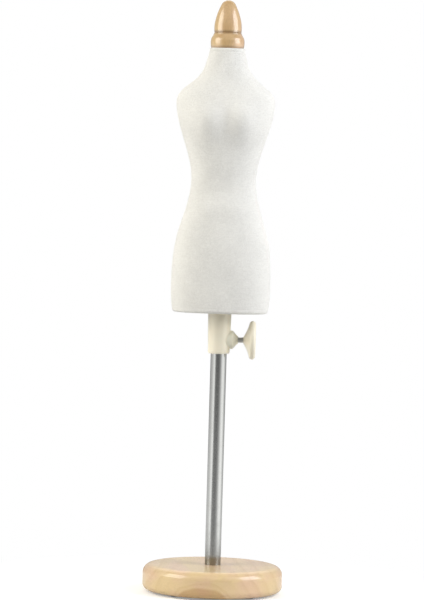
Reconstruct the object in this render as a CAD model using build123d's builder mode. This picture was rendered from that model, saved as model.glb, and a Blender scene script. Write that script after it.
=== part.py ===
from build123d import *
import os
from math import cos, exp, pi, sin

# A tabletop dress form. A torso under a knitted cover slides and turns on a steel tube, is held
# there by a knob that screws against the tube, and stands on a round wooden base.
#
# Sizes are in millimetres. +Z is up, the torso faces -Y and the knob points along +X.
# The origin is on the floor, on the axis of the tube.

# ---------------------------------------------------------------- clearances
FIT = 0.05  # between pieces that are pressed, glued or screwed together
RUNNING_GAP = 0.08  # radial, round whatever turns or slides
END_GAP = 0.1  # along the axis, beside whatever turns
FREE_GAP = 0.3  # between pieces that only pass each other
THREAD_DEPTH = 0.6  # of the thread's pitch

# ---------------------------------------------------------------- base
base_radius = 70.0
base_thickness = 26.0
base_top_round = 9.0
base_bottom_round = 6.5

foot_count = 4
foot_radius = 6.0
foot_height = 2.0
foot_inset = 20.0  # from the rim of the base to the middle of a foot

bolt_radius = 4.0
bolt_pitch = 1.25
bolt_head_flats = 13.0
bolt_head_height = 5.3
bolt_head_cover = 1.6  # how deep the head lies above the underside
bolt_engagement = 14.0  # thread inside the tube's foot
washer_radius = 12.0
washer_thickness = 2.0
lock_washer_width = 2.35  # of its ring
lock_washer_thickness = 2.1
lock_washer_split = 1.2

# ---------------------------------------------------------------- pole
pole_radius = 8.0
pole_wall = 1.5
pole_socket_depth = 6.0  # how deep the tube stands in the base
lowering_travel = 90.0  # how far the torso can slide down from where it stands
lowering_spare = 1.8  # left between the tube's plug and the neck block at the end of that
pole_rim_bevel = 0.4
foot_insert_length = 20.0
top_plug_stem = 10.0
top_plug_cap = 2.5

# ---------------------------------------------------------------- torso
hem_clearance = 253.0  # from the top of the base to the hem
cover_thickness = 1.2
hem_round = 3.0
hem_turn = 8.0  # how far the side panels are turned in under the hem
plate_thickness = 12.0
neck_radius = 17.1
neck_block_height = 14.0
neck_spigot_wall = 1.95
neck_spigot_length = 20.0
guide_wall = 1.5
guide_gap = 0.5  # round the pole, inside the guide tube
guide_socket_depth = 8.0  # in the neck block
tack_count = 12
tack_head_radius = 2.2
tack_head_height = 0.5
tack_shank_radius = 0.6
tack_length = 8.0
tack_edge = 2.0  # from the turned-in edge of the panels to the tacks

# The body at each level, outside the cover: height above the hem, half width, depth in front of
# the pole, depth behind it, and how far each breast stands out.
body_levels = [
    (0.0, 47.2, 31.0, 37.0, 0.0),
    (9.8, 48.8, 31.8, 38.2, 0.0),
    (25.5, 49.5, 32.6, 39.4, 0.0),
    (45.1, 49.1, 33.0, 39.8, 0.0),
    (66.6, 47.0, 32.4, 37.6, 0.0),
    (89.2, 41.3, 30.2, 32.6, 0.0),
    (111.7, 34.8, 26.6, 27.0, 0.0),
    (131.3, 32.2, 24.6, 24.2, 0.0),
    (150.0, 34.3, 26.0, 25.0, 0.0),
    (168.0, 39.6, 28.8, 26.8, 0.8),
    (189.0, 46.0, 31.4, 29.0, 5.0),
    (206.0, 49.0, 29.6, 30.4, 2.2),
    (215.5, 47.6, 27.4, 29.8, 0.5),
    (224.4, 39.8, 24.6, 27.4, 0.0),
    (233.5, 28.8, 21.6, 24.0, 0.0),
    (243.6, 22.3, 19.4, 21.0, 0.0),
    (253.7, 19.1, 18.0, 18.6, 0.0),
    (263.2, neck_radius, neck_radius, neck_radius, 0.0),
]
breast_spacing = 38.0
breast_spread = 13.0
body_fullness = 0.92  # 1 gives plain half ellipses, and less gives fuller corners
SECTION_POINTS = 28

# ---------------------------------------------------------------- clamp
knob_hem_gap = 7.7  # from the knob up to the hem
knob_radius = 19.3
knob_hub_wall = 0.7
knob_flare_length = 5.8
knob_flare_sag = 0.45
knob_rim_round = 3.25
knob_socket_depth = 8.0
knob_reach = 5.4  # thread that shows between boss and knob

clamp_radius = 3.0
clamp_pitch = 1.0
nut_flats = 10.0
nut_height = 5.0
nut_setback = 0.5  # behind the sleeve's bore
pad_thickness = 1.6
pad_pin_radius = 1.2
pad_pin_length = 2.0

sleeve_foot = 13.9  # from the clamp screw to the mouth of the sleeve
sleeve_mouth_wall = 2.6
sleeve_liner_wall = 2.12
sleeve_bevel_width = 0.7
sleeve_bevel_height = 1.6
spigot_wall = 2.15
spigot_rise = 5.0  # above the plate
flange_width = 11.8
flange_thickness = 3.0
guide_overlap = 8.0  # length of guide tube held in the sleeve
boss_wall = 3.4  # round the corners of the nut
boss_cone_overlap = 0.3  # where the boss's cone starts, short of the nut's outer face
boss_cone_length = 4.6
boss_nose_wall = 0.8
boss_nose_length = 0.7
boss_nose_round = 0.5
boss_rim_round = 0.25  # where its cone starts
boss_saddle_round = 0.55  # where it meets the sleeve
liner_wall = 1.42
liner_split = 1.5
liner_seat_wall = 2.75  # between the nut's pocket and the liner

flange_screw_count = 4
flange_screw_radius = 1.5
flange_screw_tip_cover = 2.0  # plate left above the screws
flange_screw_head_radius = 3.0
flange_screw_head_height = 1.6

# ---------------------------------------------------------------- finial
dowel_radius = 3.0
dowel_tip = 4.0
dowel_in_cap = 16.0
dowel_in_neck = 18.5
ring_height = 15.5
ring_lip = 0.3  # neck that shows round the ring at its widest
ring_foot_lip = 1.0  # neck that shows round the foot of the ring
ring_belly_height = 5.7
ring_shoulder_step = 0.6  # in from the ring's widest
ring_shoulder_height = 9.7
ring_top_step = 2.75  # in from the ring's widest
ring_top_height = 13.7
groove_radius = 13.1  # where cap and ring meet
groove_bevel = 0.45
cap_height = 32.3
cap_bulge = 0.5  # out from the groove
cap_belly_height = 6.2
cap_shoulder_step = 1.9  # in from the cap's widest
cap_shoulder_height = 16.2
cap_rise = 0.02  # lean of the cap's side where it leaves the groove
cap_tip_radius = 7.8
cap_tip_angle = 64.0  # from the tip to where its round ends

# ---------------------------------------------------------------- heights, from the floor up
underside = foot_height
lock_washer_bottom = underside + bolt_head_cover + bolt_head_height
washer_bottom = lock_washer_bottom + lock_washer_thickness
bolt_bore_ceiling = washer_bottom + washer_thickness
base_top = underside + base_thickness
pole_bottom = base_top - pole_socket_depth
bolt_top = pole_bottom + bolt_engagement

hem = base_top + hem_clearance
clamp_height = hem - knob_hem_gap - knob_radius
sleeve_bottom = clamp_height - sleeve_foot
liner_seat = clamp_height + nut_flats / 2 + FIT + liner_seat_wall
plate_bottom = hem + cover_thickness
plate_top = plate_bottom + plate_thickness
spigot_top = plate_top + spigot_rise
guide_seat = spigot_top - guide_overlap

neck_top = hem + body_levels[-1][0]
block_top = neck_top - cover_thickness
block_bottom = block_top - neck_block_height
neck_spigot_bottom = block_bottom - neck_spigot_length
guide_top = neck_spigot_bottom + guide_socket_depth
pole_top = guide_top - lowering_travel - lowering_spare - top_plug_cap

dowel_bottom = neck_top - dowel_in_neck
cap_bottom = neck_top + ring_height
cap_top = cap_bottom + cap_height
dowel_top = cap_bottom + dowel_in_cap

# ---------------------------------------------------------------- radii, from the pole's axis out
pole_bore = pole_radius - pole_wall
lock_washer_radius = bolt_radius + FIT + lock_washer_width
guide_bore = pole_radius + guide_gap
guide_radius = guide_bore + guide_wall
neck_spigot_radius = guide_radius + FIT + neck_spigot_wall
liner_bore = pole_radius + RUNNING_GAP
liner_radius = liner_bore + liner_wall
sleeve_bore = pole_radius + FREE_GAP
sleeve_mouth_radius = sleeve_bore + sleeve_mouth_wall
sleeve_top_radius = liner_radius + RUNNING_GAP + sleeve_liner_wall
spigot_radius = guide_radius + FIT + spigot_wall
flange_radius = spigot_radius + flange_width
flange_screw_circle = spigot_radius + flange_width / 2
boss_radius = (nut_flats / 2 + FIT) / cos(pi / 6) + boss_wall
sleeve_taper_start = sleeve_bottom + sleeve_bevel_height
sleeve_taper = (sleeve_top_radius - sleeve_mouth_radius) / (plate_bottom - sleeve_taper_start)
sleeve_radius_at_boss = sleeve_mouth_radius + sleeve_taper * (clamp_height + boss_radius - sleeve_taper_start)
ring_radius = neck_radius - ring_lip
cap_radius = groove_radius + cap_bulge

# ---------------------------------------------------------------- along the clamp screw, out from the pole's axis
clamp_axis = Axis((0, 0, clamp_height), (1, 0, 0))
pad_face = pole_radius + END_GAP
pad_back = pad_face + pad_thickness
screw_tip = pad_back + END_GAP
nut_start = sleeve_bore + nut_setback
nut_end = nut_start + nut_height
boss_cone_start = max(
    nut_end - boss_cone_overlap,
    sleeve_radius_at_boss + boss_saddle_round + boss_rim_round,
)
boss_cone_end = boss_cone_start + boss_cone_length
boss_end = boss_cone_end + boss_nose_length
knob_start = boss_end + knob_reach
stud_end = knob_start + knob_socket_depth
rim_start = knob_start + knob_flare_length
rim_end = rim_start + 2 * knob_rim_round

boss_nose_radius = clamp_radius + FREE_GAP + boss_nose_wall
pad_radius = clamp_radius - 2 * RUNNING_GAP

STANDING = (Align.CENTER, Align.CENTER, Align.MIN)  # on its place
HANGING = (Align.CENTER, Align.CENTER, Align.MAX)  # down from its place

os.makedirs("parts", exist_ok=True)


def save(part, label):
    """Label a finished piece and write its STEP file."""
    part.label = label
    export_step(part, f"parts/{label}.step")


def body_point(level, inset, angle):
    """Point of the body's outline at one level and angle, moved in from the outside of the cover."""
    _, half_width, front, back, breast = level
    across = cos(angle)
    along = sin(angle)
    depth = back if along > 0 else front
    x = (half_width - inset) * abs(across) ** body_fullness * (1 if across > 0 else -1)
    y = (depth - inset) * abs(along) ** body_fullness * (1 if along > 0 else -1)
    swell = exp(-(((abs(x) - breast_spacing / 2) / breast_spread) ** 2))
    return x, y - breast * swell * max(0, -along)


def body_section(level, inset):
    """Points all round the body's outline at one level."""
    return [body_point(level, inset, 2 * pi * step / SECTION_POINTS) for step in range(SECTION_POINTS)]


def body_form(inset):
    """The body as one solid, moved in all round from the outside of the cover."""
    with BuildPart() as form:
        for level in body_levels:
            rise = level[0]
            if level is body_levels[0]:
                rise += inset
            if level is body_levels[-1]:
                rise -= inset
            with BuildSketch(Plane.XY.offset(hem + rise)):
                with BuildLine():
                    Spline(*body_section(level, inset), periodic=True)
                make_face()
        loft()
        fillet(form.edges().group_by(Axis.Z)[0], hem_round - inset)
    return form.part


def thread_outline(start, end, radius, pitch):
    """Points along a thread's crests and roots, as (radius, place along it)."""
    root = radius - THREAD_DEPTH * pitch
    turns = int((end - start) / pitch)
    points = []
    for turn in range(turns):
        points.append((root, start + turn * pitch))
        points.append((radius, start + (turn + 0.5) * pitch))
    points.append((root, start + turns * pitch))
    return points


# ---------------------------------------------------------------- base
with BuildPart() as base_disc:
    with BuildSketch(Plane.XY.offset(underside)):
        Circle(base_radius)
    extrude(amount=base_thickness)
    fillet(base_disc.edges().group_by(Axis.Z)[-1], min(base_top_round, base_thickness / 2 - FIT))
    fillet(base_disc.edges().group_by(Axis.Z)[0], min(base_bottom_round, base_thickness / 2 - FIT))
    with BuildSketch(Plane.XY.offset(base_top)):
        Circle(pole_radius + FIT)
    extrude(amount=-pole_socket_depth, mode=Mode.SUBTRACT)
    with BuildSketch(Plane.XY.offset(underside)):
        Circle(washer_radius + FREE_GAP)
    extrude(amount=bolt_bore_ceiling - underside, mode=Mode.SUBTRACT)
    with BuildSketch(Plane.XY.offset(underside)):
        Circle(bolt_radius + FREE_GAP)
    extrude(amount=base_thickness, mode=Mode.SUBTRACT)
save(base_disc.part, "base_disc")

with BuildPart() as base_feet:
    with BuildSketch(Plane.XY):
        with PolarLocations(base_radius - foot_inset, foot_count, start_angle=180 / foot_count):
            Circle(foot_radius)
    extrude(amount=foot_height)
save(base_feet.part, "base_feet")

with BuildPart() as base_washer:
    with BuildSketch(Plane.XY.offset(washer_bottom)):
        Circle(washer_radius)
        Circle(bolt_radius + FREE_GAP, mode=Mode.SUBTRACT)
    extrude(amount=washer_thickness)
save(base_washer.part, "base_washer")

with BuildPart() as base_lock_washer:
    with BuildSketch(Plane.XY.offset(lock_washer_bottom)):
        Circle(lock_washer_radius)
        Circle(bolt_radius + FIT, mode=Mode.SUBTRACT)
        with Locations((lock_washer_radius, 0)):
            Rectangle(2 * lock_washer_radius, lock_washer_split, mode=Mode.SUBTRACT)
    extrude(amount=lock_washer_thickness)
save(base_lock_washer.part, "base_lock_washer")

with BuildPart() as base_bolt:
    with BuildSketch(Plane.XY.offset(lock_washer_bottom)):
        RegularPolygon(bolt_head_flats / 2, 6, major_radius=False)
    extrude(amount=-bolt_head_height)
    with BuildSketch(Plane.XZ):
        with BuildLine():
            thread = thread_outline(bolt_bore_ceiling, bolt_top, bolt_radius, bolt_pitch)
            Polyline(
                (0, lock_washer_bottom),
                (bolt_radius, lock_washer_bottom),
                (bolt_radius, bolt_bore_ceiling - FIT),
                *thread,
                (0, thread[-1][1]),
                close=True,
            )
        make_face()
    revolve(axis=Axis.Z)
save(base_bolt.part, "base_bolt")

# ---------------------------------------------------------------- pole
with BuildPart() as pole_tube:
    with BuildSketch(Plane.XY.offset(pole_bottom)):
        Circle(pole_radius)
        Circle(pole_bore, mode=Mode.SUBTRACT)
    extrude(amount=pole_top - pole_bottom)
    chamfer(pole_tube.edges().group_by(Axis.Z)[-1].sort_by(SortBy.RADIUS)[-1], pole_rim_bevel)
save(pole_tube.part, "pole_tube")

with BuildPart() as pole_foot_insert:
    with BuildSketch(Plane.XY.offset(pole_bottom)):
        Circle(pole_bore - FIT)
        Circle(bolt_radius + FIT, mode=Mode.SUBTRACT)
    extrude(amount=foot_insert_length)
save(pole_foot_insert.part, "pole_foot_insert")

with BuildPart() as pole_top_plug:
    with BuildSketch(Plane.XY.offset(pole_top)):
        Circle(pole_bore - FIT)
    extrude(amount=-top_plug_stem)
    with BuildSketch(Plane.XY.offset(pole_top)):
        Circle(pole_radius - FIT)
    extrude(amount=top_plug_cap)
    fillet(pole_top_plug.edges().group_by(Axis.Z)[-1], top_plug_cap / 2)
save(pole_top_plug.part, "pole_top_plug")

# ---------------------------------------------------------------- clamp
with BuildPart() as clamp_sleeve:
    # outside: a tapered barrel with a bevelled mouth, a flange, and a spigot up through the plate
    with BuildSketch(Plane.XZ):
        with BuildLine():
            Polyline(
                (0, sleeve_bottom),
                (sleeve_mouth_radius - sleeve_bevel_width, sleeve_bottom),
                (sleeve_mouth_radius, sleeve_taper_start),
                (sleeve_top_radius, plate_bottom),
                (flange_radius, plate_bottom),
                (flange_radius, plate_bottom + flange_thickness),
                (spigot_radius, plate_bottom + flange_thickness),
                (spigot_radius, spigot_top),
                (0, spigot_top),
                close=True,
            )
        make_face()
    revolve(axis=Axis.Z)
    # the boss that the clamp screw runs through, blended into the barrel
    with BuildSketch(Plane.XZ) as boss_outline:
        with BuildLine():
            Polyline(
                (0, clamp_height),
                (0, clamp_height + boss_radius),
                (boss_cone_start, clamp_height + boss_radius),
                (boss_cone_end, clamp_height + boss_nose_radius),
                (boss_end, clamp_height + boss_nose_radius),
                (boss_end, clamp_height),
                close=True,
            )
        make_face()
        fillet(boss_outline.vertices().group_by(Axis.X)[-1].sort_by(Axis.Y)[-1], boss_nose_round)
        fillet(boss_outline.vertices().group_by(Axis.X)[1][0], boss_rim_round)
    revolve(axis=clamp_axis)
    fillet(clamp_sleeve.edges().filter_by(GeomType.BSPLINE), boss_saddle_round)
    # inside: the bore for the pole, the seat of the liner and the seat of the guide tube
    with BuildSketch(Plane.XY.offset(sleeve_bottom)):
        Circle(sleeve_bore)
    extrude(amount=spigot_top - sleeve_bottom, mode=Mode.SUBTRACT)
    with BuildSketch(Plane.XY.offset(liner_seat)):
        Circle(liner_radius + RUNNING_GAP)
    extrude(amount=spigot_top - liner_seat, mode=Mode.SUBTRACT)
    with BuildSketch(Plane.XY.offset(guide_seat)):
        Circle(guide_radius + FIT)
    extrude(amount=spigot_top - guide_seat, mode=Mode.SUBTRACT)
    # the hexagonal pocket of the nut, open to the bore, and the hole of the screw
    with BuildSketch(Plane.YZ):
        with Locations((0, clamp_height)):
            RegularPolygon(nut_flats / 2 + FIT, 6, major_radius=False)
    extrude(amount=nut_end + FIT, mode=Mode.SUBTRACT)
    with BuildSketch(Plane.YZ):
        with Locations((0, clamp_height)):
            Circle(clamp_radius + FREE_GAP)
    extrude(amount=boss_end, mode=Mode.SUBTRACT)
    # countersunk holes in the flange
    with Locations(Plane.XY.offset(plate_bottom)):
        with PolarLocations(flange_screw_circle, flange_screw_count, start_angle=180 / flange_screw_count):
            Cylinder(
                flange_screw_radius + FREE_GAP,
                flange_thickness,
                align=STANDING,
                mode=Mode.SUBTRACT,
            )
            Cone(
                flange_screw_head_radius + FREE_GAP,
                flange_screw_radius + FREE_GAP,
                flange_screw_head_height,
                align=STANDING,
                mode=Mode.SUBTRACT,
            )
save(clamp_sleeve.part, "clamp_sleeve")

with BuildPart() as clamp_nut:
    with BuildSketch(Plane.YZ.offset(nut_start)):
        with Locations((0, clamp_height)):
            RegularPolygon(nut_flats / 2, 6, major_radius=False)
            Circle(clamp_radius + RUNNING_GAP, mode=Mode.SUBTRACT)
    extrude(amount=nut_height)
save(clamp_nut.part, "clamp_nut")

with BuildPart() as pole_liner:
    with BuildSketch(Plane.XY.offset(liner_seat + END_GAP)):
        Circle(liner_radius)
        Circle(liner_bore, mode=Mode.SUBTRACT)
        with Locations((-liner_radius, 0)):
            Rectangle(2 * liner_wall + 2 * FREE_GAP, liner_split, mode=Mode.SUBTRACT)
    extrude(amount=guide_seat - liner_seat - 2 * END_GAP)
save(pole_liner.part, "pole_liner")

with BuildPart() as clamp_pad:
    with BuildSketch(Plane.YZ.offset(pad_face)):
        with Locations((0, clamp_height)):
            Circle(pad_radius)
    extrude(amount=pad_thickness)
    with BuildSketch(Plane.YZ.offset(pad_back)):
        with Locations((0, clamp_height)):
            Circle(pad_pin_radius)
    extrude(amount=pad_pin_length)
save(clamp_pad.part, "clamp_pad")

with BuildPart() as clamp_screw:
    with BuildSketch(Plane.XZ):
        with BuildLine():
            thread = [
                (along, clamp_height + radius)
                for radius, along in thread_outline(screw_tip, knob_start, clamp_radius, clamp_pitch)
            ]
            Polyline(
                (screw_tip, clamp_height),
                *thread,
                (knob_start, clamp_height + clamp_radius),
                (stud_end, clamp_height + clamp_radius),
                (stud_end, clamp_height),
                close=True,
            )
        make_face()
    revolve(axis=clamp_axis)
    with BuildSketch(Plane.YZ.offset(screw_tip)):
        with Locations((0, clamp_height)):
            Circle(pad_pin_radius + RUNNING_GAP)
    extrude(amount=pad_pin_length + END_GAP, mode=Mode.SUBTRACT)
save(clamp_screw.part, "clamp_screw")

with BuildPart() as clamp_knob:
    with BuildSketch(Plane.XZ):
        with BuildLine():
            hub = clamp_height + clamp_radius + knob_hub_wall
            rim_foot = clamp_height + knob_radius - knob_rim_round
            Line((knob_start, clamp_height), (knob_start, hub))
            SagittaArc((knob_start, hub), (rim_start, rim_foot), -knob_flare_sag)
            ThreePointArc(
                (rim_start, rim_foot),
                (rim_start + knob_rim_round, clamp_height + knob_radius),
                (rim_end, rim_foot),
            )
            Polyline((rim_end, rim_foot), (rim_end, clamp_height), (knob_start, clamp_height))
        make_face()
    revolve(axis=clamp_axis)
    with BuildSketch(Plane.YZ.offset(knob_start)):
        with Locations((0, clamp_height)):
            Circle(clamp_radius + FIT)
    extrude(amount=knob_socket_depth + FIT, mode=Mode.SUBTRACT)
save(clamp_knob.part, "clamp_knob")

with BuildPart() as sleeve_screws:
    with Locations(Plane.XY.offset(plate_bottom)):
        with PolarLocations(flange_screw_circle, flange_screw_count, start_angle=180 / flange_screw_count):
            Cylinder(flange_screw_radius, plate_thickness - flange_screw_tip_cover, align=STANDING)
            Cone(flange_screw_head_radius, flange_screw_radius, flange_screw_head_height, align=STANDING)
save(sleeve_screws.part, "sleeve_screws")

# ---------------------------------------------------------------- torso
with BuildPart() as guide_tube:
    with BuildSketch(Plane.XY.offset(guide_seat)):
        Circle(guide_radius)
        Circle(guide_bore, mode=Mode.SUBTRACT)
    extrude(amount=guide_top - guide_seat)
save(guide_tube.part, "guide_tube")

outer_form = body_form(0)
inner_form = body_form(cover_thickness)
tack_places = [
    Location((*body_point(body_levels[0], hem_turn - tack_edge, 2 * pi * (tack + 0.5) / tack_count), hem))
    for tack in range(tack_count)
]

with BuildPart() as hem_tacks:
    with Locations(*tack_places):
        Cylinder(tack_shank_radius, tack_length, align=STANDING)
        Cylinder(tack_head_radius, tack_head_height, align=HANGING)
save(hem_tacks.part, "hem_tacks")

with BuildPart() as hem_plate:
    add(inner_form)
    split(bisect_by=Plane.XY.offset(plate_top), keep=Keep.BOTTOM)
    with Locations((0, 0, plate_bottom)):
        Cylinder(flange_radius + FIT, flange_thickness, align=STANDING, mode=Mode.SUBTRACT)
        Cylinder(spigot_radius + FIT, plate_thickness, align=STANDING, mode=Mode.SUBTRACT)
    with Locations(*tack_places):
        Cylinder(tack_shank_radius + FIT, tack_length + FIT, align=STANDING, mode=Mode.SUBTRACT)
    with Locations(Plane.XY.offset(plate_bottom)):
        with PolarLocations(flange_screw_circle, flange_screw_count, start_angle=180 / flange_screw_count):
            Cylinder(
                flange_screw_radius + FIT,
                plate_thickness - flange_screw_tip_cover + FIT,
                align=STANDING,
                mode=Mode.SUBTRACT,
            )
save(hem_plate.part, "hem_plate")

with BuildPart() as torso_core:
    add(inner_form)
    split(bisect_by=Plane.XY.offset(plate_top), keep=Keep.TOP)
    split(bisect_by=Plane.XY.offset(block_bottom), keep=Keep.BOTTOM)
    with Locations((0, 0, plate_top)):
        Cylinder(guide_radius + FIT, block_bottom - plate_top, align=STANDING, mode=Mode.SUBTRACT)
        Cylinder(spigot_radius + FIT, spigot_rise + FIT, align=STANDING, mode=Mode.SUBTRACT)
    with Locations((0, 0, block_bottom)):
        Cylinder(neck_spigot_radius + FIT, neck_spigot_length + FIT, align=HANGING, mode=Mode.SUBTRACT)
save(torso_core.part, "torso_core")

with BuildPart() as neck_block:
    add(inner_form)
    split(bisect_by=Plane.XY.offset(block_bottom), keep=Keep.TOP)
    with Locations((0, 0, block_bottom)):
        Cylinder(neck_spigot_radius, neck_spigot_length, align=HANGING)
    with Locations((0, 0, neck_spigot_bottom)):
        Cylinder(guide_radius + FIT, guide_socket_depth + FIT, align=STANDING, mode=Mode.SUBTRACT)
    with Locations((0, 0, dowel_bottom - FIT)):
        Cylinder(dowel_radius + FIT, dowel_in_neck, align=STANDING, mode=Mode.SUBTRACT)
save(neck_block.part, "neck_block")

with BuildPart() as cover_shell:
    add(outer_form)
    add(inner_form, mode=Mode.SUBTRACT)
    with BuildSketch(Plane.XY.offset(hem)):
        with BuildLine():
            Spline(*body_section(body_levels[0], hem_turn), periodic=True)
        make_face()
    extrude(amount=cover_thickness, mode=Mode.SUBTRACT)
    with Locations((0, 0, block_top)):
        Cylinder(dowel_radius + FREE_GAP, cover_thickness, align=STANDING, mode=Mode.SUBTRACT)
    with Locations(*tack_places):
        Cylinder(tack_shank_radius + FIT, cover_thickness, align=STANDING, mode=Mode.SUBTRACT)

with BuildPart() as cover_front:
    add(cover_shell.part)
    split(bisect_by=Plane.XZ, keep=Keep.TOP)
save(cover_front.part, "cover_front")

with BuildPart() as cover_back:
    add(cover_shell.part)
    split(bisect_by=Plane.XZ, keep=Keep.BOTTOM)
save(cover_back.part, "cover_back")

with BuildPart() as hem_cover:
    with BuildSketch(Plane.XY.offset(hem)):
        with BuildLine():
            Spline(*body_section(body_levels[0], hem_turn), periodic=True)
        make_face()
        Circle(sleeve_top_radius + FIT, mode=Mode.SUBTRACT)
    extrude(amount=cover_thickness)
save(hem_cover.part, "hem_cover")

# ---------------------------------------------------------------- finial
with BuildPart() as finial_dowel:
    with BuildSketch(Plane.XZ):
        with BuildLine():
            Polyline(
                (0, dowel_bottom),
                (dowel_radius, dowel_bottom + dowel_tip),
                (dowel_radius, dowel_top),
                (0, dowel_top),
                close=True,
            )
        make_face()
    revolve(axis=Axis.Z)
save(finial_dowel.part, "finial_dowel")

with BuildPart() as finial_ring:
    with BuildSketch(Plane.XZ):
        with BuildLine():
            Line((dowel_radius + FIT, neck_top), (neck_radius - ring_foot_lip, neck_top))
            Spline(
                (neck_radius - ring_foot_lip, neck_top),
                (ring_radius, neck_top + ring_belly_height),
                (ring_radius - ring_shoulder_step, neck_top + ring_shoulder_height),
                (ring_radius - ring_top_step, neck_top + ring_top_height),
                (groove_radius + groove_bevel, cap_bottom - groove_bevel),
            )
            Polyline(
                (groove_radius + groove_bevel, cap_bottom - groove_bevel),
                (groove_radius, cap_bottom),
                (dowel_radius + FIT, cap_bottom),
                (dowel_radius + FIT, neck_top),
            )
        make_face()
    revolve(axis=Axis.Z)
save(finial_ring.part, "finial_ring")

with BuildPart() as finial_cap:
    with BuildSketch(Plane.XZ):
        with BuildLine():
            Polyline(
                (0, cap_bottom),
                (groove_radius, cap_bottom),
                (groove_radius + groove_bevel, cap_bottom + groove_bevel),
            )
            tip = CenterArc((0, cap_top - cap_tip_radius), cap_tip_radius, 90 - cap_tip_angle, cap_tip_angle)
            Spline(
                (groove_radius + groove_bevel, cap_bottom + groove_bevel),
                (cap_radius, cap_bottom + cap_belly_height),
                (cap_radius - cap_shoulder_step, cap_bottom + cap_shoulder_height),
                tip @ 0,
                tangents=[(cap_rise, 1), tip % 0],
            )
            Line(tip @ 1, (0, cap_bottom))
        make_face()
    revolve(axis=Axis.Z)
    with Locations((0, 0, cap_bottom)):
        Cylinder(dowel_radius + FIT, dowel_in_cap + FIT, align=STANDING, mode=Mode.SUBTRACT)
save(finial_cap.part, "finial_cap")
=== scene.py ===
"""Finishes and soft goods of a tabletop dress form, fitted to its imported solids.

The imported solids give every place. Sizes in the classes are in millimetres and meshes are in metres,
in one frame: +Z is up, the torso faces -Y and the clamp knob points along +X.
"""

from __future__ import annotations

import logging
import math
from contextlib import contextmanager
from dataclasses import dataclass, replace
from enum import Enum
from typing import Callable, Iterator, Sequence, Union

import bmesh
import bpy
from mathutils import Matrix, Vector, noise
from mathutils.bvhtree import BVHTree

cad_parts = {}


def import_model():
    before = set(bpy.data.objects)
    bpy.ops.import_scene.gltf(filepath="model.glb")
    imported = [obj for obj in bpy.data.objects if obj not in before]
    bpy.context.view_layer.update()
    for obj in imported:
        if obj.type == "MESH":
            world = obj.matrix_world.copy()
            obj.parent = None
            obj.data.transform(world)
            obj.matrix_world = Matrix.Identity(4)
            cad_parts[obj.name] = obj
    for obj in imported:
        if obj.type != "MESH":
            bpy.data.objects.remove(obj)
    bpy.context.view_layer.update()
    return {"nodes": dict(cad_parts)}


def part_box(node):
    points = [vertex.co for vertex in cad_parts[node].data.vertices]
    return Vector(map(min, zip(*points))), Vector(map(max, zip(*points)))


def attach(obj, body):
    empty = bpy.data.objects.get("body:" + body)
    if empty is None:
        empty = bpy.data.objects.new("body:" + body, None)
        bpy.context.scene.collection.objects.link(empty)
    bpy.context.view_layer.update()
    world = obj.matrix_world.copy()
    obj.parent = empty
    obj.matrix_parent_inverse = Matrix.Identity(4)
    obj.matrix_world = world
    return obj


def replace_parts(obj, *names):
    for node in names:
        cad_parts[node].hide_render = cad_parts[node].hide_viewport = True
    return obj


log = logging.getLogger("dress_form")

MM = 0.001
TOUCH = 0.01 * MM
FLAT = 0.99
OUTSIDE = 0.2

Piece = bpy.types.Object
Socket = bpy.types.NodeSocket
Feed = Union[bpy.types.NodeSocket, float, tuple]
Feeds = dict[Union[str, int], Feed]
Colour = tuple
Point = tuple[float, float]
Curve = tuple[Point, ...]


class Body(Enum):
    """The bodies that pieces ride on."""

    STAND = "stand"
    TORSO = "torso"
    KNOB = "knob"


class Axis(Enum):
    """The axis that a turned piece or a grain runs along."""

    X = (1.0, 0.0, 0.0)
    Y = (0.0, 1.0, 0.0)
    Z = (0.0, 0.0, 1.0)


# ---------------------------------------------------------------- working on meshes


def clear_selection() -> None:
    """Leave edit mode and deselect every object."""
    if bpy.context.object is not None and bpy.context.object.mode != "OBJECT":
        bpy.ops.object.mode_set(mode="OBJECT")
    bpy.ops.object.select_all(action="DESELECT")


def take(piece: Piece) -> Piece:
    """Make a piece the only selected one, and the active one.

    Args:
        piece: The piece to work on.

    Returns:
        The same piece.
    """
    clear_selection()
    piece.select_set(True)
    bpy.context.view_layer.objects.active = piece
    return piece


def christen(name: str) -> Piece:
    """Name the piece that an operator has just added, and its mesh."""
    piece = bpy.context.object
    piece.name = name
    piece.data.name = name
    return piece


@contextmanager
def editing(piece: Piece, picking: str = "VERT") -> Iterator[None]:
    """Work on a piece in edit mode, with nothing selected at first.

    Args:
        piece: The piece to edit.
        picking: What is picked, VERT, EDGE or FACE.
    """
    take(piece)
    bpy.ops.object.mode_set(mode="EDIT")
    bpy.ops.mesh.select_mode(type=picking)
    bpy.ops.mesh.select_all(action="DESELECT")
    yield
    bpy.ops.object.mode_set(mode="OBJECT")


def pick(piece: Piece, kind: str, test: Callable[..., bool]) -> int:
    """Select the vertices, edges or faces of a piece in edit mode that pass a test.

    Args:
        piece: The piece in edit mode.
        kind: One of verts, edges and faces.
        test: What to pick, given one of them.

    Returns:
        How many were picked.
    """
    bpy.ops.mesh.select_all(action="DESELECT")
    mesh = bmesh.from_edit_mesh(piece.data)
    picked = [item for item in getattr(mesh, kind) if test(item)]
    for item in picked:
        item.select_set(True)
    bmesh.update_edit_mesh(piece.data)
    return len(picked)


def middle(edge: bmesh.types.BMEdge) -> Vector:
    """Middle of an edge."""
    return (edge.verts[0].co + edge.verts[1].co) / 2


def fix_place(piece: Piece) -> None:
    """Put a piece's place, turn and scale in its mesh."""
    take(piece)
    bpy.ops.object.transform_apply(location=True, rotation=True, scale=True)


def face_outwards(piece: Piece) -> None:
    """Make all of a piece's normals agree, pointing outwards."""
    with editing(piece):
        bpy.ops.mesh.select_all(action="SELECT")
        bpy.ops.mesh.normals_make_consistent(inside=False)


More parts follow.
